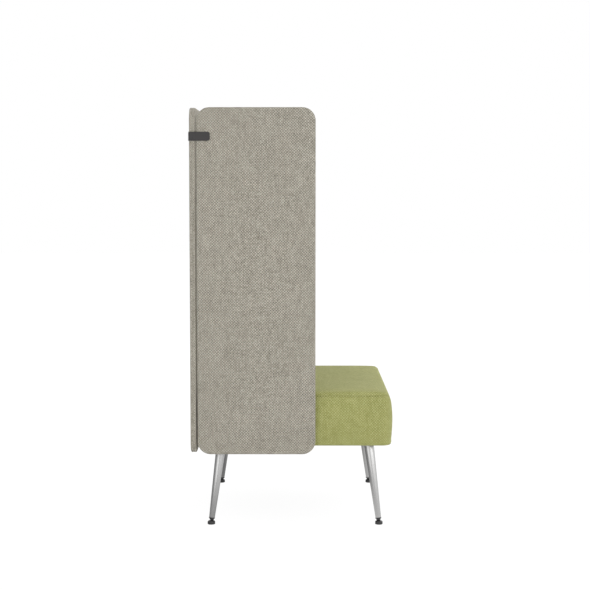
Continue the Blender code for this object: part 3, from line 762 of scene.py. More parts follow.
seat = {
    "width": 0.635,
    "depth": 0.6455,
    "middle": (0.0, -0.0108),
    "cornerRadius": 0.036,
    "seamHeight": 0.4295,
    "seamInset": 0.0124,
    "top": 0.4478,
    "falls": [(2.4, 0.030), (1.3, 0.14)],   # mm that the crown falls at an edge, and over what distance
    "fallBlend": 2.4,
    "cell": 0.009,
    "cornerCells": 8,
    # (inset from the widest line, height): over the top roll, down the side, under the base
    "topRoll": [(0.0314, 0.4447), (0.0265, 0.4442), (0.0219, 0.4427), (0.0180, 0.4403), (0.0149, 0.4372),
                (0.0131, 0.4338), (0.0125, 0.4309)],
    "side": [(0.0119, 0.4281), (0.0108, 0.4264), (0.0090, 0.4238), (0.0072, 0.4200), (0.0057, 0.4150),
             (0.0043, 0.4090), (0.0031, 0.4015), (0.0021, 0.3930), (0.0013, 0.3840), (0.0006, 0.3740),
             (0.0001, 0.3640), (0.0000, 0.3550), (0.0002, 0.3460), (0.0004, 0.3370), (0.0007, 0.3280),
             (0.0011, 0.3190), (0.0016, 0.3100), (0.0021, 0.3010), (0.0027, 0.2920), (0.0034, 0.2835),
             (0.0042, 0.2760), (0.0051, 0.2705), (0.0065, 0.2674), (0.0086, 0.2657)],
    "under": [(0.0120, 0.2651), (0.0165, 0.2650), (0.0215, 0.2650), (0.0255, 0.2651), (0.0263, 0.2660),
              (0.0265, 0.2671), (0.0310, 0.2672)],
    "swell": 0.0012,        # the form starts this much small, and the air fills it out
    "pressure": 3.4,
    "mostMove": 0.0013,
    "hemRings": 4,          # rings of the side that the hem keeps from moving
    "besideSeam": 0.7,      # how firmly the seam holds the rings beside it
    "seamDip": 0.0034,
    "seamReach": 0.0011,
    "pucker": 0.0003,
    "stitchPitch": 0.0042,
    "stitchLength": 0.0030,
    "threadRadius": 0.00045,
    "stitchTurn": 0,        # degrees
}


def seatTop(x, y):
    # the crown falls away towards all four edges
    edges = max(0.0, seat["width"] / 2 - abs(x)), max(0.0, seat["depth"] / 2 - abs(y))
    falls = [sum(drop * math.exp(-(edge - seat["cornerRadius"]) / reach) for drop, reach in seat["falls"])
             for edge in edges]
    blend = seat["fallBlend"]
    return seat["top"] - (falls[0] ** blend + falls[1] ** blend) ** (1 / blend) * 0.001


def seatRise(number, height, starts):
    # over the corners the top roll is lower, because the crown is
    seam = seat["seamHeight"]
    if number >= len(seat["topRoll"]):
        return [height] * len(starts)
    straight = seatTop(0.0, -(seat["depth"] / 2 - seat["cornerRadius"]))
    return [seam + (height - seam) * ((seatTop(x, y) - seam) / (straight - seam)) for x, y in starts]


def makeSeat():
    net = roundNet(seat["width"], seat["depth"], seat)
    rings = [*seat["topRoll"], (seat["seamInset"], seat["seamHeight"]), *seat["side"], *seat["under"]]
    seamRing = len(seat["topRoll"])
    middleX, middleY = seat["middle"]
    piece = skin("seatCushion", net, seatTop, rings, lambda x, y: rings[-1][1], seamRing + 1,
                 lambda v: Vector((v.x + middleX, v.y + middleY, v.z)), seatRise, roundChart=True)
    base, total, count = piece["rings"]
    held = np.zeros(len(piece.data.vertices))
    held[base // 2:base] = 1.0      # the whole base
    hem = seamRing + 1 + len(seat["side"]) - seat["hemRings"]
    for number in range(count):
        rows = slice(base + number * total, base + (number + 1) * total)
        if number == seamRing or number >= hem:
            held[rows] = 1.0
        elif abs(number - seamRing) == 1:
            held[rows] = seat["besideSeam"]
    inflate(piece, held, seat["swell"], seat["pressure"], seat["mostMove"])
    sewSeam(piece, seamRing, seat)
    line = ringPoints(piece, seamRing)
    dress(piece, "seatWool", "chair", "seat_fabric", "seat_cover")
    stitches = sewStitches("seatStitches", seat, "seatWool", "seat_fabric", line)
    print("seat made:", len(piece.data.polygons), "faces,", len(stitches.data.polygons), "in its stitches")


# the screens: boards in thin padding, the cover drawn tight and closed along the edge

screen = {
    "height": 1.130,
    "base": 0.242,
    "thickness": 0.019,
    "cornerRadius": 0.043,
    "edgeRadius": 0.0044,
    "rearGap": 0.0036,      # how far the side screens' padding stops short of the back screen
    "cell": 0.012,
    "cornerCells": 10,
    "faceRings": (0.036, 0.028, 0.021, 0.015, 0.0115),      # insets
    "rollSteps": 7,
    "seamHalf": 0.00045,    # from the last ring of the roll to the seam
    "uneven": 0.00025,      # slow unevenness of the padding
    "unevenScale": 7,
    "seamDip": 0.0010,
    "seamReach": 0.0013,
    "pucker": 0.00015,
    "stitchPitch": 0.0075,
    "stitchLength": 0.0022,
    "threadRadius": 0.00035,
    "stitchTurn": 62,       # degrees
}


def screenRings():
    # inset and height from the face out to the seam on the crest, and the same on the other half
    half, roll = screen["thickness"] / 2, screen["edgeRadius"]
    upper = [(inset, half) for inset in screen["faceRings"]]
    for step in range(screen["rollSteps"] + 1):
        angle = math.pi / 2 * step / screen["rollSteps"]
        upper.append((roll - roll * math.sin(angle), half - roll + roll * math.cos(angle)))
    upper.append((0.0, screen["seamHalf"]))
    rings = mirrored(upper)
    rings.insert(len(upper), (0.0, 0.0))
    return rings, len(upper)


def makeScreen(name, width, warp, node):
    net = roundNet(width, screen["height"], screen)
    rings, seamRing = screenRings()
    half, scale = screen["thickness"] / 2, screen["unevenScale"]

    def padding(x, y, mark):
        return noise.noise(Vector((x * scale, y * scale, mark))) * screen["uneven"]

    piece = skin(name, net, lambda x, y: half + padding(x, y, 3.1), rings,
                 lambda x, y: -half + padding(x, y, 9.4), seamRing + 1, warp)
    sewSeam(piece, seamRing, screen)
    line = ringPoints(piece, seamRing)
    dress(piece, "screenTweed", "chair", "screen_fabric", node)
    sewStitches(name + "Stitches", screen, "screenTweed", "screen_fabric", line)


def makeScreens():
    # a panel lies flat as it is made, and is stood up with its width along the chair's side or back
    middleZ = screen["base"] + screen["height"] / 2
    for side, sign in sideSign.items():
        low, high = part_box(f"{side}_screen_cover")
        depth = high.y - low.y - screen["rearGap"]
        middleX, middleY = (high.x + low.x) / 2, low.y + depth / 2
        makeScreen(f"{side}Screen", depth, lambda v: Vector((
            middleX + sign * v.z, middleY + sign * v.x, middleZ + v.y)), f"{side}_screen_cover")
    low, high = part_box("back_screen_cover")
    middleY = (high.y + low.y) / 2
    makeScreen("backScreen", high.x - low.x, lambda v: Vector((-v.x, middleY + v.z, middleZ + v.y)),
               "back_screen_cover")
    print("screens made: left, right and back")


# turned pieces: a profile of (radius, height) spun round an axis, and closed joins its two ends

def spun(name, profile, steps, place=Matrix(), wobble=None, closed=False):
    verts, rows = [], []
    for radius, height in profile:
        if radius == 0:
            rows.append([len(verts)] * steps)
            verts.append((0.0, 0.0, height))
            continue
        rows.append(list(range(len(verts), len(verts) + steps)))
        for index in range(steps):
            angle = 2 * math.pi * index / steps
            reach = wobble(radius, height, angle) if wobble else radius
            verts.append((reach * math.cos(angle), reach * math.sin(angle), height))
    lengths = np.cumsum([0, *[math.dist(a, b) for a, b in zip(profile, profile[1:] + profile[:1])]])
    widest = max(radius for radius, unused in profile)
    faces, maps = [], []
    for level in range(len(rows) if closed else len(rows) - 1):
        first, second = rows[level], rows[(level + 1) % len(rows)]
        for index in range(steps):
            after = (index + 1) % steps
            quad = {}
            for vert, step, mark in ((first[index], index, level), (first[after], index + 1, level),
                                     (second[after], index + 1, level + 1), (second[index], index, level + 1)):
                quad.setdefault(vert, (2 * math.pi * widest * step / steps, lengths[mark]))
            faces.append(list(quad))
            maps.append(list(quad.values()))
    piece = addMesh(name, [place @ Vector(v) for v in verts], faces, maps)
    smoothBy(piece, 32, turnOut=True)
    return piece


def arcPoints(radius, centre, first, last, steps):
    points = []
    for step in range(steps + 1):
        angle = math.radians(first + (last - first) * step / steps)
        points.append((centre[0] + radius * math.cos(angle), centre[1] + radius * math.sin(angle)))
    return points


# legs: tapered tube, leaning out both ways, cut level under its plate

leg = {
    "topSide": 0.2600,
    "topEnd": 0.24475,
    "slope": 0.128,
    "ballHeight": 0.0065,
    "footRadius": 0.0095,
    "topRadius": 0.0168,
    "wall": 0.0015,
    "plateBase": 0.264,
    "steps": 56,
    "lip": 0.0004,
    "mitreReach": 0.020,
}

# glides: a plug in the leg's foot, a stem with a collar and a ball, and a pad; rises are over the ball's middle

glide = {
    "baseRise": 0.0070,
    "collar": 0.0045,
    "acrossFlats": 0.013,
    "collarChamfer": 0.93,  # its ends, as a share of half the flats
    "collarPoints": 0.985,  # what is left of its points once they are turned off
    "collarEdge": 0.0005,
    "stemRadius": 0.0039,
    "stemLength": 0.040,
    "stemEnd": 0.0007,
    "threadPitch": 0.0012,
    "threadDepth": 0.0004,
    "neckRadius": 0.0025,
    "neckFlare": [(0.0, 0.0050), (0.0010, 0.0058), (0.0027, 0.0066)],     # how much wider, and how high
    "ballRadius": 0.0045,
    "padRadius": 0.0125,
    "padThroat": 0.0030,
    "padLip": [(0.0008, -0.0001), (0.0014, 0.0)],   # how much wider than the throat, and how high over the rim
    "padEdge": 0.0065,      # over the floor
    "padRim": 0.0070,
    "rimRise": 0.0045,
    "soleEase": 0.0007,
    "soleRadius": 0.0095,
    "soleHollow": (0.0002, 0.0003),     # inwards and up
    "plugRim": 0.0100,
    "plugRimThickness": 0.0030,
    "plugLength": 0.020,
    "plugEase": (0.0004, 0.0006, 0.0003),       # at its rim above, below and in its bore
    "gap": 0.0003,
}


def legPlace(end, side):
    # the leg's top, the ball's centre, the way up the leg, and the frame whose Z runs up it
    signX, signY = sideSign[side], endSign[end]
    run = (leg["plateBase"] - leg["ballHeight"]) * leg["slope"]
    top = Vector((signX * leg["topSide"], seat["middle"][1] + signY * leg["topEnd"], leg["plateBase"]))
    ball = Vector((top.x + signX * run, top.y + signY * run, leg["ballHeight"]))
    up = (top - ball).normalized()
    turn = Vector((0, 0, 1)).rotation_difference(up).to_matrix().to_4x4()
    return top, ball, up, Matrix.Translation(ball) @ turn


def legTree(footRise, topRise, mitre):
    # a tapered wall, drawn as four corners, eased, turned round the leg's axis and mitred at its top
    tree = Tree("taperedLeg", {
        "Foot radius": leg["footRadius"], "Top radius": leg["topRadius"], "Wall": leg["wall"],
        "Foot rise": footRise, "Top rise": topRise, "Edge": leg["lip"], "Mitre": mitre,
        "Mitre reach": leg["mitreReach"], "Sides": leg["steps"], "Finish": materials["satinSteel"]})
    number = tree.number
    foot, top, wall = tree.given("Foot rise"), tree.given("Top rise"), tree.given("Wall")
    taper = number("SUBTRACT", tree.given("Top radius"), tree.given("Foot radius"))

    def corner(across, rise):
        # the profile's own Y points down the axis that it is turned round
        return tree.vector(X=across, Y=number("MULTIPLY", rise, -1.0))

    outline = tree.node("GeometryNodeCurvePrimitiveQuadrilateral", {"mode": "POINTS"}, {
        "Point 1": corner(0.0, foot),
        "Point 2": corner(taper, top),
        "Point 3": corner(number("SUBTRACT", taper, wall), top),
        "Point 4": corner(number("MULTIPLY", wall, -1.0), foot),
    })
    eased = tree.node("GeometryNodeFilletCurve", {"mode": "POLY"}, {
        "Curve": outline.outputs[0], "Count": 3, "Radius": tree.given("Edge"), "Limit Radius": True})
    girth = tree.node("GeometryNodeCurvePrimitiveCircle", sockets={
        "Resolution": tree.given("Sides"), "Radius": tree.given("Foot radius")})
    tube = tree.node("GeometryNodeCurveToMesh", sockets={
        "Curve": girth.outputs["Curve"], "Profile Curve": eased.outputs[0]})
    place = tree.node("GeometryNodeInputPosition").outputs[0]
    marked = tree.node("GeometryNodeStoreNamedAttribute", {"data_type": "FLOAT_VECTOR", "domain": "POINT"},
                       {"Geometry": tube.outputs[0], "Name": "legPlace", "Value": place})
    # near the top the rings tip, so that the last one lies level under the plate
    rise = tree.node("ShaderNodeSeparateXYZ", sockets={0: place}).outputs["Z"]
    start = number("SUBTRACT", top, tree.given("Mitre reach"))
    share = number("DIVIDE", number("SUBTRACT", rise, start), tree.given("Mitre reach"))
    share = number("MAXIMUM", share, 0.0)
    tip = tree.node("ShaderNodeVectorMath", {"operation": "DOT_PRODUCT"}, {0: place, 1: tree.given("Mitre")})
    drop = number("MULTIPLY", number("MULTIPLY", share, tip.outputs["Value"]), -1.0)
    mitred = tree.node("GeometryNodeSetPosition", sockets={
        "Geometry": marked.outputs[0], "Offset": tree.vector(Z=drop)})
    tree.finish(mitred.outputs[0])
    return tree


def makeLeg(end, side):
    up, place = legPlace(end, side)[2:]
    level = place.to_3x3().row[2] / up.z
    footRise = glide["baseRise"] + glide["collar"] + 2 * glide["gap"] + glide["plugRimThickness"]
    topRise = (leg["plateBase"] - glide["gap"] - leg["ballHeight"]) / up.z
    tree = legTree(footRise, topRise, (level.x, level.y, 0.0))
    piece = tree.run(f"leg-{end}-{side}-tube", addMesh("legMark", [(0, 0, 0)], []))
    piece.data.transform(place)
    smoothBy(piece, 32, turnOut=True)
    dress(piece, "satinSteel", "chair", "satin_steel", f"leg_{end}_{side}")


weld = {"radius": 0.0015, "ripple": 0.00022, "ripples": 21, "flatness": 0.8, "out": 0.0003, "down": 0.0006,
        "steps": 84, "sides": 8}


def makeWeld(end, side):
    # a rippled bead where the mitred tube meets its plate
    top, unused, up, place = legPlace(end, side)
    steps, sides = weld["steps"], weld["sides"]
    verts, faces = [], []
    for index in range(steps):
        angle = 2 * math.pi * index / steps
        spot = place @ Vector((leg["topRadius"] * math.cos(angle), leg["topRadius"] * math.sin(angle), 0))
        spot += up * ((leg["plateBase"] - spot.z) / up.z)
        out = (spot - top).normalized()
        size = weld["radius"] + weld["ripple"] * math.sin(angle * weld["ripples"])
        row, nextRow = index * sides, (index + 1) % steps * sides
        for turn in range(sides):
            bend = 2 * math.pi * turn / sides
            rise = Vector((0, 0, size * weld["flatness"] * math.sin(bend) - weld["down"]))
            x, y, z = spot + out * (weld["out"] + size * math.cos(bend)) + rise
            verts.append((x, y, min(z, leg["plateBase"])))
            after = (turn + 1) % sides
            faces.append([row + turn, nextRow + turn, nextRow + after, row + after])
    piece = addMesh(f"weld-{end}-{side}", verts, faces)
    smoothBy(piece, 60, turnOut=True)
    dress(piece, "platedSteel", "chair", "plated_steel")


def makePlug(end, side):
    base = glide["baseRise"] + glide["collar"] + glide["gap"]
    rim = base + glide["plugRimThickness"]
    top = rim + glide["plugLength"]
    shank = leg["footRadius"] - leg["wall"] - glide["gap"]
    bore = glide["stemRadius"] + glide["gap"]
    wide = glide["plugRim"]
    above, below, inner = glide["plugEase"]
    profile = [
        (shank, top), (shank, rim),
        *arcPoints(above, (wide - above, rim - above), 90, 0, 3),
        *arcPoints(below, (wide - below, base + below), 0, -90, 4),
        *arcPoints(inner, (bore + inner, base + inner), -90, -180, 2),
        (bore, top),
    ]
    piece = spun(f"plug-{end}-{side}", profile, 40, legPlace(end, side)[3], closed=True)
    dress(piece, "blackNylon", "chair", "black_nylon", f"leg_plug_{end}_{side}")


def makeStem(end, side):
    low = glide["baseRise"]
    high = low + glide["collar"]
    top = high + glide["stemLength"]
    ballTop = math.degrees(math.acos(glide["neckRadius"] / glide["ballRadius"]))
    ball = arcPoints(glide["ballRadius"], (0, 0), -90, ballTop, 12)
    neck = [(glide["neckRadius"] + wider, rise) for wider, rise in glide["neckFlare"]]
    flatHalf, edge = glide["acrossFlats"] / 2, glide["collarEdge"]
    turned = flatHalf * glide["collarChamfer"]
    pointed = flatHalf / math.cos(math.pi / 6) * glide["collarPoints"]
    threaded = glide["stemRadius"] - 0.0001         # only marks the rows that carry the thread
    profile = [
        (0, -glide["ballRadius"]), *ball[1:], *neck,
        (turned, low), (pointed, low + edge), (pointed, high - edge), (turned, high),
        (glide["stemRadius"], high),
    ]
    rise = high
    while rise < top - glide["threadPitch"]:
        rise += glide["threadPitch"] / 4
        profile.append((threaded, rise))
    profile += [(glide["stemRadius"] - glide["stemEnd"], top), (0, top)]

    def shaped(radius, height, angle):
        # a hexagon at the collar, with its points turned off, and a screw thread up the shank
        if radius in (turned, pointed):
            inside = (angle + math.pi / 6) % (math.pi / 3) - math.pi / 6
            return min(radius, flatHalf / math.cos(inside))
        if radius == threaded:
            wave = (height / glide["threadPitch"] + angle / (2 * math.pi)) % 1
            return glide["stemRadius"] - glide["threadDepth"] * abs(2 * wave - 1)
        return radius

    piece = spun(f"stem-{end}-{side}", profile, 48, legPlace(end, side)[3], shaped)
    dress(piece, "blackenedSteel", f"glide_{end}_{side}", "blackened_steel", f"glide_stem_{end}_{side}")


def makePad(end, side):
    socket, sole = glide["ballRadius"] + glide["gap"], -leg["ballHeight"]
    throat = math.degrees(math.asin(glide["padThroat"] / socket))
    inside = arcPoints(socket, (0, 0), -90, throat, 14)
    mouth = inside[-1][0]
    rim, edge = glide["rimRise"], glide["padEdge"] + sole
    wide, flat, ease = glide["padRadius"], glide["padRim"], glide["soleEase"]
    profile = [(0, -socket), *inside[1:], *[(mouth + wider, rim + over) for wider, over in glide["padLip"]]]
    for step in range(11):
        angle = math.pi / 2 * (1 - step / 10)
        profile.append((flat + (wide - flat) * math.cos(angle), edge + (rim - edge) * math.sin(angle)))
    profile += arcPoints(ease, (wide - ease, ease + sole), 0, -90, 4)
    inwards, deep = glide["soleHollow"]
    profile += [(glide["soleRadius"], sole), (glide["soleRadius"] - inwards, sole + deep), (0.0, sole + deep)]
    piece = spun(f"pad-{end}-{side}", profile, 56, Matrix.Translation(legPlace(end, side)[1]))
    dress(piece, "blackNylon", f"foot_{end}_{side}", "black_nylon", f"glide_pad_{end}_{side}")


# flat steel: rings on its face, then an edge eased by a little, and the same below

def plateRings(values):
    half, edge = values["thickness"] / 2, values["edge"]
    upper = [(inset, half) for inset in (*values["faceRings"], edge)]
    upper += [(edge * 0.3, half - edge * 0.3), (0.0, half - edge)]
    return mirrored(upper), len(upper)


# leg plates, with four pan head screws each

plate = {"side": 0.058, "thickness": 0.003, "cornerRadius": 0.006, "edge": 0.0005, "cell": 0.006,
         "cornerCells": 5, "faceRings": (0.003,)}

screw = {"offset": 0.0215, "headRadius": 0.0050, "headHeight": 0.0028, "crown": 0.75,
         "crownAngles": (0, 18, 36, 54, 70, 84, 90), "shankRadius": 0.0021, "shankLength": 0.0235,
         "length": 0.026, "cross": (0.0046, 0.0009, 0.0030), "mostTurn": 1.5}


def makePlate(end, side):
    top, half = legPlace(end, side)[0], plate["thickness"] / 2
    net = roundNet(plate["side"], plate["side"], plate)
    rings, seamRing = plateRings(plate)
    piece = skin(f"plate-{end}-{side}", net, lambda x, y: half, rings, lambda x, y: -half, seamRing,
                 lambda v: Vector((top.x + v.x, top.y + v.y, leg["plateBase"] + half + v.z)))
    smoothBy(piece, 20)
    dress(piece, "platedSteel", "chair", "plated_steel", f"leg_plate_{end}_{side}")


def screwModel():
    # head down at the origin, shank up, with a cross driven into the head
    head, radius, crown = screw["headHeight"], screw["headRadius"], screw["crown"]
    profile = []
    for degrees in screw["crownAngles"]:
        angle = math.radians(degrees)
        profile.append((radius * math.sin(angle), -head * math.cos(angle) * crown - head * (1 - crown)))
    profile += [(radius, 0.0), (screw["shankRadius"], 0.0), (screw["shankRadius"], screw["shankLength"]),
                (0.0, screw["length"])]
    piece = spun("screwModel", profile, 24)
    slot = bmesh.new()
    for turn in (0, math.pi / 2):
        box = bmesh.ops.create_cube(slot, size=1)["verts"]
        bmesh.ops.scale(slot, vec=screw["cross"], verts=box)
        bmesh.ops.rotate(slot, cent=(0, 0, 0), matrix=Matrix.Rotation(turn, 3, "Z"), verts=box)
    bmesh.ops.translate(slot, vec=(0, 0, -head), verts=slot.verts[:])
    cross = addObject("cross", bpy.data.meshes.new("cross"))
    slot.to_mesh(cross.data)
    slot.free()
    cut = piece.modifiers.new("cross", "BOOLEAN")
    cut.object = cross
    cut.operation = "DIFFERENCE"
    cut.solver = "EXACT"
    cut.use_self = True
    made = modified(piece)
    piece.modifiers.remove(cut)
    piece.data = made
    bpy.data.objects.remove(cross)
    smoothBy(piece, 32)
    return piece


def makeScrews():
    model = screwModel()
    places = []
    for end, side in corners:
        top = legPlace(end, side)[0]
        for signX in (1, -1):
            for signY in (1, -1):
                places.append((top.x + signX * screw["offset"], top.y + signY * screw["offset"],
                               leg["plateBase"] - glide["gap"]))
    tree = Tree("plateScrews", {"Screw": model, "Most turn": screw["mostTurn"], "Seed": 11,
                                "Finish": materials["platedSteel"]})
    info = tree.node("GeometryNodeObjectInfo", sockets={"Object": tree.given("Screw")})
    spin = tree.vector(Z=tree.chance(0.0, tree.given("Most turn")))
    tree.scatter(tree.marks(), info.outputs["Geometry"], spin)
    piece = tree.run("plateScrews", addMesh("screwPlaces", places, []))
    bpy.data.objects.remove(model)
    smoothBy(piece, 32)
    replaced = [name for name in nodes if name.startswith("plate_screw_")]
    dress(piece, "platedSteel", "chair", "plated_steel", *sorted(replaced))


# corner straps: flat steel bent once, with its edges eased and its ends rounded

strap = {"height": 0.029, "reach": 0.070, "thickness": 0.002, "bendRadius": 0.0065,
         "cornerRadius": 0.0090, "edge": 0.0004, "cell": 0.0022, "cornerCells": 8,
         "faceRings": (0.0045, 0.002)}


def makeStrap(side):
    sign = sideSign[side]
    low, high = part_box(f"{side}_corner_strap")
    cornerX = high.x if sign > 0 else low.x
    cornerY, middleZ = high.y, (low.z + high.z) / 2
    outer, half = strap["bendRadius"], strap["thickness"] / 2
    centreLine = outer - half
    arm = strap["reach"] - outer
    bend = centreLine * math.pi / 2
    width = 2 * arm + bend
    net = roundNet(width, strap["height"], strap)
    rings, seamRing = plateRings(strap)

    def bent(v):
        # x runs along the strap: in from the side arm, round the bend and along the rear arm
        along = v.x + width / 2
        radius = centreLine + v.z
        if along < arm:
            x, y = -half + v.z, -strap["reach"] + along
        elif along > arm + bend:
            x, y = -outer - (along - arm - bend), -half + v.z
        else:
            angle = (along - arm) / centreLine
            x, y = -outer + radius * math.cos(angle), -outer + radius * math.sin(angle)
        return Vector((cornerX + sign * x, cornerY + y, middleZ + v.y))

    piece = skin(f"{side}CornerStrap", net, lambda x, y: half, rings, lambda x, y: -half, seamRing, bent)
    smoothBy(piece, 24, turnOut=True)
    dress(piece, "graphitePaint", "chair", "graphite_paint", f"{side}_corner_strap")


# dust cover: a thin black sheet stapled up under the frame, cut out round the leg plates

dust = {"thickness": 0.0005, "cell": 0.012, "lift": 0.0006, "sag": 0.0014, "ripple": 0.0004,
        "rippleScale": 14, "gap": 0.0025}

staple = {"pitch": 0.042, "inset": 0.006, "fromCorner": 0.02, "fromHole": 0.008, "width": 0.010,
          "wire": 0.0005, "base": 0.0001, "rise": 0.0008, "handle": (0.0046, -0.0009), "tilt": 0.12}


def makeDustCover():
    low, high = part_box("dust_cover")
    width, length = high.x - low.x, high.y - low.y
    reach = plate["side"] / 2 + dust["gap"]
    tops = [legPlace(end, side)[0] for end, side in corners]
    holes = [(top.x - reach, top.x + reach, top.y - reach, top.y + reach) for top in tops]

    def cuts(first, last, marks):
        # even cells between the marks, so that the cut-outs fall on grid lines
        stops = sorted({round(v, 6) for v in (first, last, *marks) if first <= v <= last})
        places = []
        for a, b in zip(stops, stops[1:]):
            count = max(1, round((b - a) / dust["cell"]))
            places += [a + (b - a) * i / count for i in range(count)]
        return [*places, stops[-1]]

    xs = cuts(low.x, high.x, [v for hole in holes for v in hole[:2]])
    ys = cuts(low.y, high.y, [v for hole in holes for v in hole[2:]])
    verts, faces, grid = [], [], {}

    def point(i, j):
        if (i, j) not in grid:
            x, y = xs[i], ys[j]
            share = (1 - (2 * (x - low.x) / width - 1) ** 2) * (1 - (2 * (y - low.y) / length - 1) ** 2)
            ripple = noise.noise(Vector((x * dust["rippleScale"], y * dust["rippleScale"], 0.7)))
            ripple *= dust["ripple"] * min(1, 6 * share)
            grid[i, j] = len(verts)
            verts.append((x, y, low.z + dust["lift"] - dust["sag"] * share + ripple))
        return grid[i, j]

    for i in range(len(xs) - 1):
        for j in range(len(ys) - 1):
            x, y = (xs[i] + xs[i + 1]) / 2, (ys[j] + ys[j + 1]) / 2
            if not any(a < x < b and c < y < d for a, b, c, d in holes):
                faces.append([point(i, j), point(i, j + 1), point(i + 1, j + 1), point(i + 1, j)])
    piece = addMesh("dustCover", verts, faces)
    piece.data.polygons.foreach_set("use_smooth", [True] * len(faces))
    wall = piece.modifiers.new("thickness", "SOLIDIFY")
    wall.thickness = dust["thickness"]
    wall.offset = 0
    made = modified(piece)
    piece.modifiers.remove(wall)
    piece.data = made
    holeArea = sum((b - a) * (min(d, high.y) - max(c, low.y)) for a, b, c, d in holes)
    dress(piece, "dustFelt", "chair", "dust_cover_felt", "dust_cover")
    staples = makeStaples(low, high, holes)
    width * length - holeArea


def makeStaples(low, high, holes):
    inset, corner, clear = staple["inset"], staple["fromCorner"], staple["fromHole"]
    spots, turns = [], []
    for first, last, level, fixed in (
        (low.x, high.x, True, low.y + inset), (low.x, high.x, True, high.y - inset),
        (low.y, high.y, False, low.x + inset), (low.y, high.y, False, high.x - inset),
    ):
        run = last - first - 2 * corner
        count = int(run / staple["pitch"])
        for i in range(count + 1):
            along = first + corner + run * i / count
            x, y = (along, fixed) if level else (fixed, along)
            if not any(a - clear < x < b + clear and c - clear < y < d + clear for a, b, c, d in holes):
                spots.append((x, y, low.z + staple["base"]))
                turns.append(0.0 if level else math.pi / 2)
    carrier = addMesh("staplePlaces", spots, [])
    carrier.data.attributes.new("lean", "FLOAT", "POINT").data.foreach_set("value", turns)
    tree = Tree("staples", {"Crown width": staple["width"], "Wire radius": staple["wire"],
                            "Tilt": staple["tilt"], "Seed": 3, "Finish": materials["platedSteel"]})
    half = tree.number("MULTIPLY", tree.given("Crown width"), 0.5)
    pull, dip = staple["handle"]
    line = tree.node("GeometryNodeCurvePrimitiveBezierSegment", sockets={
        "Resolution": 8, "Start": tree.vector(X=tree.number("MULTIPLY", half, -1), Z=staple["rise"]),
        "End": tree.vector(X=half, Z=staple["rise"]),
        "Start Handle": (-pull, 0, dip), "End Handle": (pull, 0, dip)})
    ring = tree.node("GeometryNodeCurvePrimitiveCircle", sockets={
        "Resolution": 8, "Radius": tree.given("Wire radius")})
    wire = tree.node("GeometryNodeCurveToMesh", sockets={
        "Curve": line.outputs[0], "Profile Curve": ring.outputs["Curve"], "Fill Caps": True})
    lean = tree.node("GeometryNodeInputNamedAttribute", {"data_type": "FLOAT"}, {"Name": "lean"})
    turn = tree.number("ADD", lean.outputs["Attribute"], tree.chance(0.0, tree.given("Tilt")))
    tree.scatter(tree.marks(), wire.outputs[0], tree.vector(Z=turn))
    piece = tree.run("dustCoverStaples", carrier)
    smoothBy(piece, 50)
    dress(piece, "platedSteel", "chair", "plated_steel")
    return piece


# the studio: white floor and sky to the eye, softer light on the chair

studio = {
    "floorSize": 30.0,
    "skyLight": 0.74,       # on the chair; the eye sees 1, which is white
    "shine": 0.92,          # what metal shows of the room, on the whole
    "shineFront": 0.42,     # how much more of it towards the chair's front than behind
    "shineSide": 0.16,      # and towards the sitter's right than the left
    "shineFloor": 0.74,     # the floor's share of that, as metal shows it
    "floorTone": 0.90,
    "floorGlow": 0.93,
    "floorCatch": 0.13,
    # where each lamp stands and what it looks at, its width and height, and its watts
    "lamps": {
        "keyLamp": ((-3.2, -3.2, 2.8), (0, 0, 0.5), 4.8, 3.4, 70),
        "fillLamp": ((-3.9, 2.5, 0.9), (0, 0, 0.3), 3.6, 2.6, 27),
        "farLamp": ((3.0, -2.4, 3.6), (0, 0, 0.6), 3.2, 2.6, 74),
    },
}


def roomShine(tree, place):
    # the white room is a little darker behind the chair, which gives the metal its soft bands
    way = addNode(tree, "ShaderNodeVectorMath", {"operation": "NORMALIZE"}, {0: place})
    parts = addNode(tree, "ShaderNodeSeparateXYZ", sockets={0: way.outputs[0]})
    x, y = Wire(tree, parts.outputs[0]), Wire(tree, parts.outputs[1])
    return studio["shine"] - y * studio["shineFront"] - x * studio["shineSide"]


def rayKinds(tree):
    rays = addNode(tree, "ShaderNodeLightPath").outputs
    eye, through, glossy = [Wire(tree, rays[f"Is {kind} Ray"]) for kind in ("Camera", "Transmission", "Glossy")]
    return (eye + through).clamp(), glossy


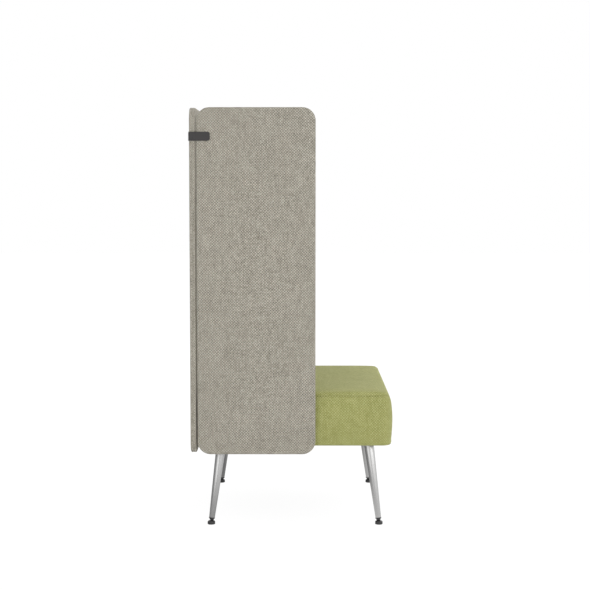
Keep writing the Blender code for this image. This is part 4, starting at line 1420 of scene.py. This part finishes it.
def makeFloor():
    half = studio["floorSize"] / 2
    rim = [(-half, -half, 0), (half, -half, 0), (half, half, 0), (-half, half, 0)]
    floor = addMesh("floor", rim, [(0, 1, 2, 3)])
    finish = Finish("studioFloor")
    tree = finish.tree
    seen, glossy = rayKinds(tree)
    plain, catch = [addNode(tree, "ShaderNodeBsdfDiffuse", sockets={"Color": (studio[tone],) * 3})
                    for tone in ("floorTone", "floorCatch")]
    shine = roomShine(tree, finish.objectPlace()) * studio["shineFloor"] - studio["floorCatch"]
    strength = glossy * (shine - studio["floorGlow"]) + studio["floorGlow"]
    glow = addNode(tree, "ShaderNodeEmission", sockets={"Strength": strength})
    both = addNode(tree, "ShaderNodeAddShader", sockets={0: catch.outputs[0], 1: glow.outputs[0]})
    sockets = {0: (seen + glossy).clamp(), 1: plain.outputs[0], 2: both.outputs[0]}
    mix = addNode(tree, "ShaderNodeMixShader", sockets=sockets)
    feed(tree, tree.nodes["Material Output"].inputs["Surface"], mix.outputs[0])
    tree.nodes.remove(finish.surface)
    floor.data.materials.append(finish.material)


def makeSky():
    world = bpy.data.worlds.new("studioSky")
    bpy.context.scene.world = world
    world.use_nodes = True
    tree = world.node_tree
    tree.nodes.clear()
    seen, glossy = rayKinds(tree)
    shine = roomShine(tree, addNode(tree, "ShaderNodeTexCoord").outputs["Generated"])
    rest = glossy * (shine - studio["skyLight"]) + studio["skyLight"]
    sockets = {"Color": (1, 1, 1), "Strength": seen + (1 - seen) * rest}
    back = addNode(tree, "ShaderNodeBackground", sockets=sockets)
    addNode(tree, "ShaderNodeOutputWorld", sockets={"Surface": back.outputs[0]})


def makeStudio():
    makeFloor()
    makeSky()
    for name, (place, target, width, height, watts) in studio["lamps"].items():
        data = bpy.data.lights.new(name, "AREA")
        data.shape = "RECTANGLE"
        data.size, data.size_y, data.energy = width, height, watts
        lamp = addObject(name, data)
        lamp.location = place
        lamp.rotation_euler = (Vector(target) - Vector(place)).to_track_quat("-Z", "Y").to_euler()
    print("studio set")


# build it all

makeSeat()
makeScreens()
for end, side in corners:
    for make in (makeLeg, makeWeld, makePlug, makeStem, makePad, makePlate):
        make(end, side)
print("legs and glides made")
makeScrews()
for side in sideSign:
    makeStrap(side)
makeDustCover()
print("straps, screws and dust cover made")

# the pieces inside keep their CAD shape
inside = {
    "sawnTimber": ("frame_", "leg_block_"),
    "plyBoard": ("seat_deck", "left_screen_board", "right_screen_board", "back_screen_board"),
    "cutFoam": ("seat_foam",),
    "platedSteel": ("left_screen_bolt", "right_screen_bolt", "back_screen_bolt", "strap_nut_"),
}
for finishName, starts in inside.items():
    for name, node in nodes.items():
        if name.startswith(starts):
            for place in node.material_slots:
                place.material = materials[finishName]

makeStudio()
